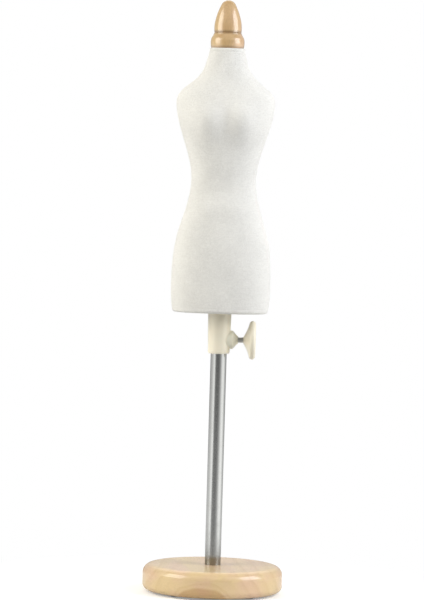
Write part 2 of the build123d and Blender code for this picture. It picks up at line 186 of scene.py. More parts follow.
def bell(off: float, width: float) -> float:
    """A smooth swell, 1 in its middle and near 0 beyond twice its width."""
    return math.exp(-((off / width) ** 2))


def level_share(value: float) -> float:
    """A value kept from 0 to 1."""
    return min(1.0, max(0.0, value))


def settle(piece: Piece, angle: float = 35.0) -> Piece:
    """Put a finished piece's place in its mesh, close its seams and shade it.

    Args:
        piece: The finished piece.
        angle: Edges sharper than this, in degrees, stay sharp.

    Returns:
        The same piece.
    """
    fix_place(piece)
    with editing(piece):
        bpy.ops.mesh.select_all(action="SELECT")
        bpy.ops.mesh.remove_doubles(threshold=0.0005 * MM)
        bpy.ops.mesh.normals_make_consistent(inside=False)
    bpy.ops.object.shade_smooth_by_angle(angle=math.radians(angle))
    return piece


def finish_with(piece: Piece, kind: str, **settings: object) -> None:
    """Add a modifier to a piece and apply it.

    Args:
        piece: The piece it works on.
        kind: The modifier's type.
        **settings: The modifier's own settings.
    """
    take(piece)
    modifier = piece.modifiers.new(kind.title(), kind)
    for name, value in settings.items():
        setattr(modifier, name, value)
    bpy.ops.object.modifier_apply(modifier=modifier.name)


def chain(name: str, points: Sequence[Vector]) -> Piece:
    """Draw a line of edges through points, starting from one vertex.

    Args:
        name: The name of the piece.
        points: The points in metres.

    Returns:
        The new piece, an open line.
    """
    clear_selection()
    bpy.ops.mesh.primitive_plane_add(size=MM, location=points[0])
    piece = christen(name)
    with editing(piece):
        bpy.ops.mesh.select_all(action="SELECT")
        bpy.ops.mesh.merge(type="CENTER")
        for start, end in zip(points, points[1:]):
            bpy.ops.mesh.extrude_region_move(TRANSFORM_OT_translate={"value": end - start})
    return piece


def turned(name: str, outline: Sequence[Point], axis: Axis, centre: Vector, steps: int = 96) -> Piece:
    """Turn an outline into a round piece, as on a lathe.

    Args:
        name: The name of the piece.
        outline: Points as (place along the axis, radius), in millimetres, from the centre.
        axis: The axis it turns about, X or Z.
        centre: A point on the axis, in metres.
        steps: How many steps make the full turn.

    Returns:
        The turned piece, closed where its outline is.
    """
    along = Vector(axis.value)
    out = Vector((1, 0, 0)) if axis is Axis.Z else Vector((0, 0, 1))
    piece = chain(name, [centre + (along * place + out * radius) * MM for place, radius in outline])
    with editing(piece):
        bpy.ops.mesh.select_all(action="SELECT")
        bpy.ops.mesh.spin(steps=steps, angle=2 * math.pi, center=centre, axis=along)
        bpy.ops.mesh.select_all(action="SELECT")
        bpy.ops.mesh.remove_doubles(threshold=0.002 * MM)
    return piece


def arc(start: Point, end: Point, sag: float, steps: int) -> list[Point]:
    """Points on a flat arc between two points of an outline.

    Args:
        start: Where it starts.
        end: Where it ends.
        sag: How far its middle stands off the straight line, to the left of the way along it.
        steps: How many steps it is divided into.

    Returns:
        The points between the two ends, without them.
    """
    first, last = Vector(start), Vector(end)
    across = last - first
    side = Vector((-across.y, across.x)).normalized()
    points = []
    for step in range(1, steps):
        share = step / steps
        point = first + across * share + side * sag * 4 * share * (1 - share)
        points.append((point.x, point.y))
    return points


def copy_of(piece: Piece, name: str, shift: Vector) -> Piece:
    """Copy a piece with its own mesh, moved.

    Args:
        piece: The piece to copy.
        name: The copy's name.
        shift: How far it is moved, in metres.

    Returns:
        The copy.
    """
    copy = bpy.data.objects.new(name, piece.data.copy())
    copy.data.name = name
    copy.data.transform(Matrix.Translation(shift))
    bpy.context.scene.collection.objects.link(copy)
    return copy


def sculpt(piece: Piece, move: Callable[[Vector], Vector]) -> None:
    """Move each vertex of a piece.

    Args:
        piece: The piece to shape.
        move: Gives the shift of a vertex from its place.
    """
    for vertex in piece.data.vertices:
        vertex.co += move(vertex.co.copy())
    piece.data.update()


def skin_of(names: Sequence[str]) -> BVHTree:
    """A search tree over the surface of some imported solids.

    Args:
        names: The names of the CAD nodes.

    Returns:
        The tree, in metres.
    """
    points: list[Vector] = []
    faces: list[list[int]] = []
    for name in names:
        mesh = bpy.data.objects[name].data
        first = len(points)
        points += [vertex.co.copy() for vertex in mesh.vertices]
        faces += [[first + index for index in polygon.vertices] for polygon in mesh.polygons]
    return BVHTree.FromPolygons(points, faces)


# ---------------------------------------------------------------- working on materials


@dataclass
class Graph:
    """One node tree and short ways to fill it."""

    tree: bpy.types.NodeTree

    def feed(self, socket: Socket, value: Feed) -> None:
        """Join a socket to another one, or give it a value."""
        if isinstance(value, bpy.types.NodeSocket):
            self.tree.links.new(value, socket)
        else:
            socket.default_value = value

    def node(self, kind: str, feeds: Feeds | None = None, **settings: object) -> bpy.types.Node:
        """Add a node.

        Args:
            kind: The node's type.
            feeds: What goes into its inputs.
            **settings: The node's own settings.

        Returns:
            The node.
        """
        node = self.tree.nodes.new(kind)
        for name, value in settings.items():
            setattr(node, name, value)
        for name, value in (feeds or {}).items():
            self.feed(node.inputs[name], value)
        return node

    def sum(self, operation: str, first: Feed, second: Feed = 0.0, third: Feed = 0.0) -> Socket:
        """Work out one value from up to three."""
        node = self.node("ShaderNodeMath", {0: first, 1: second, 2: third}, operation=operation)
        return node.outputs[0]

    def vector(self, operation: str, first: Feed, second: Feed = (0.0, 0.0, 0.0)) -> Socket:
        """Work out one vector from two."""
        return self.node("ShaderNodeVectorMath", {0: first, 1: second}, operation=operation).outputs[0]

    def scaled(self, vector: Feed, factors: tuple[float, float, float]) -> Socket:
        """A vector with its parts multiplied."""
        return self.vector("MULTIPLY", vector, factors)

    def parts(self, vector: Feed) -> tuple[Socket, Socket, Socket]:
        """The three parts of a vector."""
        node = self.node("ShaderNodeSeparateXYZ", {0: vector})
        return node.outputs[0], node.outputs[1], node.outputs[2]

    def spread(
        self, value: Feed, low: float, high: float, to_low: float = 0.0, to_high: float = 1.0
    ) -> Socket:
        """A value moved from one range to another, and kept inside it."""
        feeds: Feeds = {0: value, 1: low, 2: high, 3: to_low, 4: to_high}
        return self.node("ShaderNodeMapRange", feeds, interpolation_type="SMOOTHSTEP").outputs[0]

    def around(self, base: float, mask: Feed, share: float) -> Socket:
        """A level raised by a share of a mask."""
        return self.sum("MULTIPLY_ADD", mask, share, base)

    def length(self, vector: Feed) -> Socket:
        """The length of a vector."""
        return self.node("ShaderNodeVectorMath", {0: vector}, operation="LENGTH").outputs["Value"]

    def from_middle(self, value: Feed) -> Socket:
        """How far a repeating value is from the middle of its round, from 0 to a half."""
        return self.sum("ABSOLUTE", self.sum("SUBTRACT", self.sum("FRACT", value), 0.5))

    def tinted(self, colour: Feed, red: Feed, green: Feed, blue: Feed) -> Socket:
        """A colour with its three parts multiplied."""
        shade = self.node("ShaderNodeCombineColor", {0: red, 1: green, 2: blue}).outputs[0]
        return self.blend(1.0, colour, shade, "MULTIPLY")

    def blend(self, share: Feed, first: Feed, second: Feed, how: str = "MIX") -> Socket:
        """Mix two colours."""
        node = self.node("ShaderNodeMix", {0: share, 6: first, 7: second}, data_type="RGBA", blend_type=how)
        return node.outputs[2]

    def ramp(self, value: Feed, stops: Curve) -> Socket:
        """A value read off a curve of straight pieces.

        Args:
            value: Where to read it.
            stops: Points of the curve as (place, value), all from 0 to 1.

        Returns:
            The value.
        """
        node = self.node("ShaderNodeValToRGB", {0: value})
        band = node.color_ramp
        for place, _ in stops[1:-1]:
            band.elements.new(place)
        for element, (place, level) in zip(band.elements, stops):
            element.position = place
            element.color = (level, level, level, 1)
        return node.outputs[0]

    def noise(self, vector: Feed, scale: float, detail: float = 2.0, rough: float = 0.5) -> Socket:
        """Soft noise from 0 to 1 round a half."""
        feeds = {"Vector": vector, "Scale": scale, "Detail": detail, "Roughness": rough}
        return self.node("ShaderNodeTexNoise", feeds).outputs[0]

    def bump(self, height: Feed, strength: float, depth: float, normal: Feed | None = None) -> Socket:
        """A normal bent by a height.

        Args:
            height: The height, from 0 to 1.
            strength: How much of it shows.
            depth: The depth that the whole height stands for, in millimetres.
            normal: A normal that is already bent.

        Returns:
            The bent normal.
        """
        feeds: Feeds = {"Height": height, "Strength": strength, "Distance": depth * MM}
        if normal is not None:
            feeds["Normal"] = normal
        return self.node("ShaderNodeBump", feeds).outputs[0]


@dataclass(frozen=True)
class Effect:
    """A shader node group that more than one finish uses."""

    name: str = ""
    inlets: tuple[tuple[str, str], ...] = (("Vector", "NodeSocketVector"),)
    outlets: tuple[str, ...] = ()

    def fill(self, graph: Graph, given: bpy.types.Node, result: bpy.types.Node) -> None:
        """Join the group's inside between its inputs and outputs."""
        raise NotImplementedError

    def tree(self) -> bpy.types.NodeTree:
        """The group's tree, made the first time it is asked for."""
        found = bpy.data.node_groups.get(self.name)
        if found is not None:
            return found
        tree = bpy.data.node_groups.new(self.name, "ShaderNodeTree")
        for name, kind in self.inlets:
            tree.interface.new_socket(name=name, in_out="INPUT", socket_type=kind)
        for name in self.outlets:
            tree.interface.new_socket(name=name, in_out="OUTPUT", socket_type="NodeSocketFloat")
        graph = Graph(tree)
        self.fill(graph, graph.node("NodeGroupInput"), graph.node("NodeGroupOutput"))
        return tree

    def place(self, graph: Graph, feeds: dict[str, Feed]) -> bpy.types.Node:
        """Put the group into a material.

        Args:
            graph: The material's graph.
            feeds: What goes into the group's inputs.

        Returns:
            The group's node.
        """
        node = graph.node("ShaderNodeGroup", node_tree=self.tree())
        for name, value in feeds.items():
            graph.feed(node.inputs[name], value)
        return node


@dataclass(frozen=True)
class WoodFigure(Effect):
    """Growth rings round a pith along Z, with fibres and dark flecks. Its vector is in millimetres."""

    name: str = "wood_figure"
    inlets: tuple[tuple[str, str], ...] = (
        ("Vector", "NodeSocketVector"),
        ("Ring Spacing", "NodeSocketFloat"),
        ("Wander", "NodeSocketFloat"),
        ("Heart Radius", "NodeSocketFloat"),
    )
    outlets: tuple[str, ...] = ("Late", "Fibre", "Fleck", "Tone", "Heart")

    def fill(self, graph: Graph, given: bpy.types.Node, result: bpy.types.Node) -> None:
        """Rings from the distance to the pith, bent by slow noise; fibres from noise drawn out along it."""
        place = given.outputs["Vector"]
        slow = graph.scaled(place, (0.03, 0.03, 0.0045))
        bend_x = graph.sum("SUBTRACT", graph.noise(slow, 1.0, 1.5), 0.5)
        bend_y = graph.sum("SUBTRACT", graph.noise(graph.vector("ADD", slow, (7.3, 2.1, 4.4)), 1.0, 1.5), 0.5)
        bend = graph.node("ShaderNodeCombineXYZ", {0: bend_x, 1: bend_y}).outputs[0]
        feeds: Feeds = {0: bend, "Scale": given.outputs["Wander"]}
        reach = graph.node("ShaderNodeVectorMath", feeds, operation="SCALE")
        flat = graph.scaled(graph.vector("ADD", place, reach.outputs[0]), (1.0, 1.0, 0.0))
        radius = graph.length(flat)
        turns = graph.sum("DIVIDE", radius, given.outputs["Ring Spacing"])
        ring = graph.sum("FRACT", turns)
        year = graph.node(
            "ShaderNodeTexWhiteNoise", {"W": graph.sum("FLOOR", turns)}, noise_dimensions="1D"
        ).outputs[0]
        late = graph.ramp(ring, ((0.0, 0.1), (0.25, 0.0), (0.6, 0.3), (0.84, 0.85), (0.93, 0.8), (1.0, 0.1)))
        strength = graph.spread(year, 0.0, 1.0, 0.3, 1.0)
        graph.feed(result.inputs["Late"], graph.sum("MULTIPLY", late, strength))
        inside = graph.sum("SUBTRACT", given.outputs["Heart Radius"], radius)
        graph.feed(result.inputs["Heart"], graph.spread(inside, -1.2, 2.2))
        graph.feed(result.inputs["Fibre"], graph.noise(graph.scaled(place, (1.9, 1.9, 0.045)), 1.0, 3.0, 0.6))
        fleck = graph.noise(graph.scaled(place, (2.6, 2.6, 0.22)), 1.0, 0.0)
        graph.feed(result.inputs["Fleck"], graph.spread(fleck, 0.66, 0.78))
        graph.feed(result.inputs["Tone"], graph.noise(graph.scaled(place, (0.045, 0.045, 0.012)), 1.0, 2.0))


@dataclass(frozen=True)
class Mottle(Effect):
    """Uneven tone on three scales: broad, fine and a handling smudge. Its vector is in millimetres."""

    name: str = "mottle"
    outlets: tuple[str, ...] = ("Broad", "Fine", "Smudge")

    def fill(self, graph: Graph, given: bpy.types.Node, result: bpy.types.Node) -> None:
        """Three noises of the same place."""
        place = given.outputs["Vector"]
        graph.feed(result.inputs["Broad"], graph.noise(place, 0.035, 2.0))
        graph.feed(result.inputs["Fine"], graph.noise(place, 1.1, 2.0, 0.7))
        smudge = graph.noise(graph.vector("ADD", place, (31.0, 17.0, 5.0)), 0.09, 4.0, 0.62)
        graph.feed(result.inputs["Smudge"], graph.spread(smudge, 0.48, 0.72))


@dataclass(frozen=True)
class Edges(Effect):
    """Masks of the convex edges, where a surface is handled and worn, and of the hollows."""

    name: str = "worn_edges"
    outlets: tuple[str, ...] = ("Worn", "Hollow")

    def fill(self, graph: Graph, given: bpy.types.Node, result: bpy.types.Node) -> None:
        """Pointiness broken up by noise."""
        point = graph.node("ShaderNodeNewGeometry").outputs["Pointiness"]
        break_up = graph.spread(graph.noise(given.outputs["Vector"], 0.8, 3.0, 0.65), 0.3, 0.7, 0.35, 1.0)
        worn = graph.spread(point, 0.52, 0.62)
        graph.feed(result.inputs["Worn"], graph.sum("MULTIPLY", worn, break_up))
        graph.feed(result.inputs["Hollow"], graph.spread(point, 0.49, 0.42))


@dataclass(frozen=True)
class DrawnLines(Effect):
    """Fine lines round Z, as a lathe leaves, or along it, as drawing leaves. Its vector is in millimetres."""

    name: str = "drawn_lines"
    outlets: tuple[str, ...] = ("Round", "Along")

    def fill(self, graph: Graph, given: bpy.types.Node, result: bpy.types.Node) -> None:
        """Noise squeezed along one way or the other."""
        place = given.outputs["Vector"]
        for outlet, squeeze in (("Round", (0.02, 0.02, 3.2)), ("Along", (4.5, 4.5, 0.03))):
            graph.feed(result.inputs[outlet], graph.noise(graph.scaled(place, squeeze), 1.0, 3.0, 0.65))


@dataclass(frozen=True)
class Stitches(Effect):
    """Columns of knitted loops. Its vector counts columns along X and rows along Y."""

    name: str = "stitches"
    outlets: tuple[str, ...] = ("Height", "Gap")

    def fill(self, graph: Graph, given: bpy.types.Node, result: bpy.types.Node) -> None:
        """Each column is two slanting legs of yarn, and the rows stack up as chevrons."""
        across, along, _ = graph.parts(given.outputs["Vector"])
        leg = graph.from_middle(across)
        slant = graph.sum("MULTIPLY_ADD", leg, -1.3, along)
        row = graph.from_middle(slant)
        yarn = graph.spread(row, 0.48, 0.12)
        bow = graph.sum("ABSOLUTE", graph.sum("SUBTRACT", leg, 0.26))
        side = graph.spread(bow, 0.25, 0.05)
        height = graph.sum("MULTIPLY", graph.sum("POWER", yarn, 0.7), graph.around(0.25, side, 0.75))
        graph.feed(result.inputs["Height"], height)
        graph.feed(result.inputs["Gap"], graph.spread(height, 0.42, 0.05))


WOOD_FIGURE = WoodFigure()
MOTTLE = Mottle()
EDGES = Edges()
DRAWN_LINES = DrawnLines()
STITCHES = Stitches()


def grey(level: float) -> Colour:
    """A grey colour, as the shader takes it."""
    return (level, level, level, 1.0)


@dataclass(frozen=True)
class Finish:
    """A material of the form."""

    name: str = ""
    colour: Colour = (0.8, 0.8, 0.8, 1.0)
    rough: float = 0.5

    def shade(self, graph: Graph, shader: bpy.types.Node) -> None:
        """Join the finish's nodes to its shader."""
        raise NotImplementedError

    def millimetres(self, graph: Graph) -> Socket:
        """The place on the object, in millimetres."""
        return graph.scaled(graph.node("ShaderNodeTexCoord").outputs["Object"], (1000.0, 1000.0, 1000.0))

    def material(self) -> bpy.types.Material:
        """The material, made the first time it is asked for."""
        found = bpy.data.materials.get("finish_" + self.name)
        if found is not None:
            return found
        material = bpy.data.materials.new("finish_" + self.name)
        material.use_nodes = True
        material.node_tree.nodes.clear()
        graph = Graph(material.node_tree)
        shader = graph.node("ShaderNodeBsdfPrincipled")
        out = graph.node("ShaderNodeOutputMaterial")
        graph.feed(out.inputs["Surface"], shader.outputs[0])
        material.diffuse_color = self.colour
        self.shade(graph, shader)
        return material

    def dress(self, *pieces: Piece) -> None:
        """Give the finish to pieces or CAD nodes."""
        for piece in pieces:
            if not piece.data.materials:
                piece.data.materials.append(self.material())
            for slot in piece.material_slots:
                slot.material = self.material()


@dataclass(frozen=True)
class Wood(Finish):
    """Pale wood, raw or under clear lacquer."""

    late: Colour = (0.42, 0.24, 0.11, 1.0)
    fleck: Colour = (0.30, 0.16, 0.07, 1.0)
    grain: Axis = Axis.Z
    tilt: float = 0.0
    pith: tuple[float, float, float] = (0.0, 0.0, 0.0)
    ring_spacing: float = 3.2
    wander: float = 10.0
    figure: float = 0.7
    heart: Colour = (0.50, 0.31, 0.15, 1.0)
    heart_radius: float = 0.0
    heart_share: float = 0.7
    # Heights of bands of painted shade round the piece, and how far each band reaches, in millimetres.
    painted_shade_heights: tuple[float, ...] = ()
    painted_shade_reach: float = 2.0
    lacquer: float = 0.8
    lacquer_rough: float = 0.2
    lathe: float = 0.0

    def shade(self, graph: Graph, shader: bpy.types.Node) -> None:
        """Rings, fibres and flecks coloured from early to late wood, under the lacquer.

        Bands of painted shade, in the fleck colour, run round at the given heights, the hollows are darkened
        as painted shade, and lathe lines are added where they are asked for.
        """
        place = self.millimetres(graph)
        turn = {Axis.X: (0, math.pi / 2, 0), Axis.Y: (math.pi / 2, 0, 0), Axis.Z: (0, 0, 0)}[self.grain]
        lean = (turn[0] + math.radians(self.tilt), turn[1] + math.radians(self.tilt) / 2, turn[2])
        moved = graph.vector("SUBTRACT", place, self.pith)
        feeds = {"Vector": moved, "Rotation": lean}
        board = graph.node("ShaderNodeMapping", feeds, vector_type="POINT").outputs[0]
        feeds = {
            "Vector": board, "Ring Spacing": self.ring_spacing, "Wander": self.wander,
            "Heart Radius": self.heart_radius,
        }
        wood = WOOD_FIGURE.place(graph, feeds)
        heart = graph.sum("MULTIPLY", wood.outputs["Heart"], self.heart_share)
        rings = graph.sum("MULTIPLY", wood.outputs["Late"], self.figure)
        colour = graph.blend(rings, graph.blend(heart, self.colour, self.heart), self.late)
        fibre = graph.spread(wood.outputs["Fibre"], 0.25, 0.75, 0.88, 1.08)
        tone = graph.spread(wood.outputs["Tone"], 0.3, 0.7, 1.03, 0.95)
        colour = graph.tinted(colour, fibre, fibre, fibre)
        rosy = graph.spread(wood.outputs["Tone"], 0.3, 0.7, 0.92, 1.04)
        colour = graph.tinted(colour, 1.0, tone, rosy)
        colour = graph.blend(graph.sum("MULTIPLY", wood.outputs["Fleck"], 0.35), colour, self.fleck)
        # Only the hollow mask of these edge masks is used here: the wood is darkened towards the late colour
        # in its hollows, as painted shade.
        worn = EDGES.place(graph, {"Vector": place})
        colour = graph.blend(graph.sum("MULTIPLY", worn.outputs["Hollow"], 0.25), colour, self.late)
        _, _, height = graph.parts(place)
        # Painted shade: bands round the given heights are darkened towards the fleck colour.
        for level in self.painted_shade_heights:
            off = graph.sum("ABSOLUTE", graph.sum("SUBTRACT", height, level))
            colour = graph.blend(graph.spread(off, self.painted_shade_reach, 0.3, 0.0, 0.85), colour, self.fleck)
        graph.feed(shader.inputs["Base Color"], colour)
        mottle = MOTTLE.place(graph, {"Vector": place})
        rough = graph.sum("MULTIPLY_ADD", mottle.outputs["Smudge"], 0.06, self.rough)
        graph.feed(shader.inputs["Roughness"], graph.sum("MULTIPLY_ADD", wood.outputs["Fibre"], 0.08, rough))
        normal = graph.bump(wood.outputs["Fibre"], 0.5, 0.05 if self.lacquer else 0.16)
        if self.lathe:
            lines = DRAWN_LINES.place(graph, {"Vector": place})
            normal = graph.bump(lines.outputs["Round"], 0.6, self.lathe, normal)
        graph.feed(shader.inputs["Normal"], normal)
        shader.inputs["Coat Weight"].default_value = self.lacquer
        shader.inputs["Coat Roughness"].default_value = self.lacquer_rough
        shader.inputs["Coat IOR"].default_value = 1.5


@dataclass(frozen=True)
class Plywood(Finish):
    """Thin plies seen at the edge of a panel, their grain crossing from ply to ply."""

    ply: float = 1.5
    glue: Colour = (0.22, 0.13, 0.07, 1.0)

    def shade(self, graph: Graph, shader: bpy.types.Node) -> None:
        """Plies counted up Z, a dark glue line between them, and fibres along X or Y in turn."""
        place = self.millimetres(graph)
        _, _, height = graph.parts(place)
        plies = graph.sum("DIVIDE", height, self.ply)
        along = WOOD_FIGURE.place(graph, {"Vector": graph.scaled(place, (1, 1, 0.3)), "Ring Spacing": 5.0})
        quarter: Feeds = {"Vector": place, "Rotation": (math.pi / 2, 0, 0)}
        turned_place = graph.node("ShaderNodeMapping", quarter).outputs[0]
        across = WOOD_FIGURE.place(graph, {"Vector": turned_place, "Ring Spacing": 7.0})
        odd = graph.sum("GREATER_THAN", graph.sum("FRACT", graph.sum("MULTIPLY", plies, 0.5)), 0.5)
        fibres: Feeds = {0: odd, 2: along.outputs["Fibre"], 3: across.outputs["Fibre"]}
        fibre = graph.node("ShaderNodeMix", fibres, data_type="FLOAT").outputs[0]
        level = graph.spread(fibre, 0.2, 0.8, 0.78, 1.1)
        colour = graph.tinted(self.colour, level, level, level)
        edge = graph.from_middle(plies)
        colour = graph.blend(graph.spread(edge, 0.42, 0.5, 0.0, 0.8), colour, self.glue)
        graph.feed(shader.inputs["Base Color"], colour)
        graph.feed(shader.inputs["Roughness"], graph.sum("MULTIPLY_ADD", fibre, 0.2, self.rough))
        graph.feed(shader.inputs["Normal"], graph.bump(fibre, 0.6, 0.2))


@dataclass(frozen=True)
class Knit(Finish):
    """Fine knitted jersey, read off the piece's own map of columns and rows."""

    columns: float = 236.0
    rows: float = 360.0
    seam_reach: float = 0.0048
    shadow: Colour = (0.55, 0.52, 0.45, 1.0)

    def shade(self, graph: Graph, shader: bpy.types.Node) -> None:
        """Loops with darker gaps, sunk side seams, slubs along the rows, fluff and a faint uneven tone."""
        place = self.millimetres(graph)
        mesh_map = graph.node("ShaderNodeUVMap", uv_map="stitch_map").outputs[0]
        counts = graph.scaled(mesh_map, (self.columns, self.rows, 1.0))
        sway = graph.noise(graph.scaled(mesh_map, (14.0, 22.0, 1.0)), 1.0, 1.0)
        drift = graph.node("ShaderNodeCombineXYZ", {0: graph.sum("MULTIPLY_ADD", sway, 1.6, -0.8)}).outputs[0]
        loops = STITCHES.place(graph, {"Vector": graph.vector("ADD", counts, drift)})
        slub = graph.noise(graph.scaled(mesh_map, (26.0, self.rows * 0.9, 1.0)), 1.0, 1.0)
        speck = graph.noise(graph.scaled(place, (0.55, 0.55, 0.42)), 1.0, 2.0, 0.6)
        mottle = MOTTLE.place(graph, {"Vector": place})
        colour = graph.blend(graph.sum("MULTIPLY", loops.outputs["Gap"], 0.55), self.colour, self.shadow)
        turn, _, _ = graph.parts(mesh_map)
        off_seam = graph.from_middle(graph.sum("MULTIPLY_ADD", turn, 2.0, 0.5))
        seam = graph.spread(off_seam, self.seam_reach, self.seam_reach * 0.3, 0.0, 0.75)
        seam = graph.sum("MULTIPLY", seam, graph.spread(loops.outputs["Height"], 0.0, 0.8, 1.0, 0.55))
        colour = graph.blend(seam, colour, self.shadow)
        level = graph.sum(
            "ADD",
            graph.spread(slub, 0.2, 0.8, -0.03, 0.03),
            graph.spread(mottle.outputs["Fine"], 0.2, 0.8, 0.93, 1.05),
        )
        level = graph.sum("MULTIPLY", level, graph.spread(speck, 0.3, 0.7, 0.965, 1.025))
        level = graph.sum("MULTIPLY", level, graph.spread(mottle.outputs["Broad"], 0.3, 0.7, 0.975, 1.02))
        graph.feed(shader.inputs["Base Color"], graph.tinted(colour, level, level, level))
        graph.feed(shader.inputs["Roughness"], graph.around(self.rough, mottle.outputs["Fine"], 0.1))
        normal = graph.bump(loops.outputs["Height"], 0.55, 0.22)
        normal = graph.bump(mottle.outputs["Fine"], 0.35, 0.18, normal)
        normal = graph.bump(speck, 0.5, 0.30, normal)
        graph.feed(shader.inputs["Normal"], graph.bump(slub, 0.3, 0.08, normal))
        shader.inputs["Sheen Weight"].default_value = 0.25
        shader.inputs["Sheen Roughness"].default_value = 0.45
        shader.inputs["Specular IOR Level"].default_value = 0.25


@dataclass(frozen=True)
class WovenCloth(Finish):
    """Plain woven cotton, seen from below under the hem."""

    pitch: float = 0.55

    def shade(self, graph: Graph, shader: bpy.types.Node) -> None:
        """Warp and weft going over and under each other."""
        place = self.millimetres(graph)
        across, along, _ = graph.parts(graph.scaled(place, (1 / self.pitch, 1 / self.pitch, 1.0)))
        warp = graph.sum("SINE", graph.sum("MULTIPLY", across, math.pi))
        weft = graph.sum("SINE", graph.sum("MULTIPLY", along, math.pi))
        over = graph.spread(graph.sum("MULTIPLY", warp, weft), -1.0, 1.0)
        thread = graph.sum("MAXIMUM", graph.sum("MULTIPLY", warp, warp), graph.sum("MULTIPLY", weft, weft))
        height = graph.sum("MULTIPLY_ADD", over, 0.5, graph.sum("MULTIPLY", thread, 0.5))
        mottle = MOTTLE.place(graph, {"Vector": place})
        tone = graph.spread(mottle.outputs["Broad"], 0.3, 0.7, 0.95, 1.03)
        level = graph.sum("MULTIPLY", graph.spread(height, 0.1, 0.9, 0.78, 1.02), tone)
        graph.feed(shader.inputs["Base Color"], graph.tinted(self.colour, level, level, level))
        graph.feed(shader.inputs["Roughness"], graph.around(self.rough, mottle.outputs["Fine"], 0.08))
        graph.feed(shader.inputs["Normal"], graph.bump(height, 0.6, 0.18))
        shader.inputs["Sheen Weight"].default_value = 0.15


@dataclass(frozen=True)
class MouldedPlastic(Finish):
    """Moulded plastic with a soft gloss, a little uneven and smudged."""

    worn: Colour = (0.90, 0.88, 0.80, 1.0)
    body_light: float = 0.08
    clear: float = 0.0
    # Colour of painted shade, and the radius from the pole beyond which it covers the boss; creases take it
    # too.
    boss_shade: Colour = (0.76, 0.74, 0.62, 1.0)
    boss_shade_from: float = 0.0

    def shade(self, graph: Graph, shader: bpy.types.Node) -> None:
        """Flow marks in the tone, rubbed edges and a faint orange peel.

        Beyond a given radius from the pole, on the clamp's boss, and in creases, the plastic takes a darker,
        greyer colour as painted shade.
        """
        place = self.millimetres(graph)
        mottle = MOTTLE.place(graph, {"Vector": place})
        edges = EDGES.place(graph, {"Vector": place})
        level = graph.spread(mottle.outputs["Broad"], 0.3, 0.7, 0.95, 1.03)
        colour = graph.tinted(self.colour, level, level, level)
        # Painted shade: the boss beyond the radius, and the creases by the hollow mask, take the darker
        # colour.
        if self.boss_shade_from:
            flat = graph.scaled(place, (1.0, 1.0, 0.0))
            radius = graph.length(flat)
            beyond = graph.spread(radius, self.boss_shade_from - 0.3, self.boss_shade_from)
            colour = graph.blend(beyond, colour, self.boss_shade)
            crease = graph.sum("MULTIPLY", edges.outputs["Hollow"], 0.6)
            colour = graph.blend(crease, colour, self.boss_shade)
        colour = graph.blend(graph.sum("MULTIPLY", edges.outputs["Worn"], 0.35), colour, self.worn)
        graph.feed(shader.inputs["Base Color"], colour)
        rough = graph.sum("MULTIPLY_ADD", mottle.outputs["Smudge"], 0.12, self.rough)
        graph.feed(shader.inputs["Roughness"], graph.sum("MULTIPLY_ADD", mottle.outputs["Fine"], 0.05, rough))
        graph.feed(shader.inputs["Normal"], graph.bump(mottle.outputs["Fine"], 0.25, 0.02))
        shader.inputs["Subsurface Weight"].default_value = self.body_light
        shader.inputs["Subsurface Radius"].default_value = (0.9, 0.7, 0.45)
        shader.inputs["Subsurface Scale"].default_value = 0.0012
        shader.inputs["Transmission Weight"].default_value = self.clear
        shader.inputs["IOR"].default_value = 1.5


@dataclass(frozen=True)
class Metal(Finish):
    """Bare or plated metal."""

    lines: str = "Along"
    line_depth: float = 0.01
    tarnish: Colour = (0.30, 0.28, 0.25, 1.0)
    tarnish_share: float = 0.15
    brushed: float = 0.0

    def shade(self, graph: Graph, shader: bpy.types.Node) -> None:
        """Drawn or turned lines, smudges and a little tarnish in the hollows."""
        place = self.millimetres(graph)
        lines = DRAWN_LINES.place(graph, {"Vector": place})
        mottle = MOTTLE.place(graph, {"Vector": place})
        edges = EDGES.place(graph, {"Vector": place})
        line = lines.outputs[self.lines]
        dull = graph.sum("ADD", graph.sum("MULTIPLY", mottle.outputs["Smudge"], 0.4), edges.outputs["Hollow"])
        colour = graph.blend(graph.sum("MULTIPLY", dull, self.tarnish_share), self.colour, self.tarnish)
        graph.feed(shader.inputs["Base Color"], colour)
        rough = graph.sum("MULTIPLY_ADD", mottle.outputs["Smudge"], 0.05, self.rough)
        scratched = graph.spread(line, 0.2, 0.8, -0.03, 0.05)
        graph.feed(shader.inputs["Roughness"], graph.sum("ADD", rough, scratched))
        graph.feed(shader.inputs["Normal"], graph.bump(line, 0.5, self.line_depth))
        shader.inputs["Metallic"].default_value = 1.0
        shader.inputs["Anisotropic"].default_value = self.brushed


@dataclass(frozen=True)
class Foam(Finish):
    """Rigid foam of small closed cells."""

    def shade(self, graph: Graph, shader: bpy.types.Node) -> None:
        """Cells from a Voronoi pattern."""
        place = self.millimetres(graph)
        feeds = {"Vector": place, "Scale": 0.55}
        cells = graph.node("ShaderNodeTexVoronoi", feeds, feature="DISTANCE_TO_EDGE").outputs[0]
        wall = graph.spread(cells, 0.0, 0.16)
        colour = graph.blend(wall, grey(0.62), self.colour)
        graph.feed(shader.inputs["Base Color"], colour)
        graph.feed(shader.inputs["Roughness"], graph.sum("MULTIPLY_ADD", wall, 0.1, self.rough))
        graph.feed(shader.inputs["Normal"], graph.bump(wall, 0.7, 0.3))


@dataclass(frozen=True)
class Rubber(Finish):
    """Matt rubber with dust in its pores."""

    dust: Colour = (0.35, 0.33, 0.30, 1.0)

    def shade(self, graph: Graph, shader: bpy.types.Node) -> None:
        """Fine pores and a film of dust."""
        place = self.millimetres(graph)
        mottle = MOTTLE.place(graph, {"Vector": place})
        colour = graph.blend(graph.sum("MULTIPLY", mottle.outputs["Smudge"], 0.35), self.colour, self.dust)
        graph.feed(shader.inputs["Base Color"], colour)
        graph.feed(shader.inputs["Roughness"], graph.around(self.rough, mottle.outputs["Fine"], 0.15))
        graph.feed(shader.inputs["Normal"], graph.bump(mottle.outputs["Fine"], 0.5, 0.06))


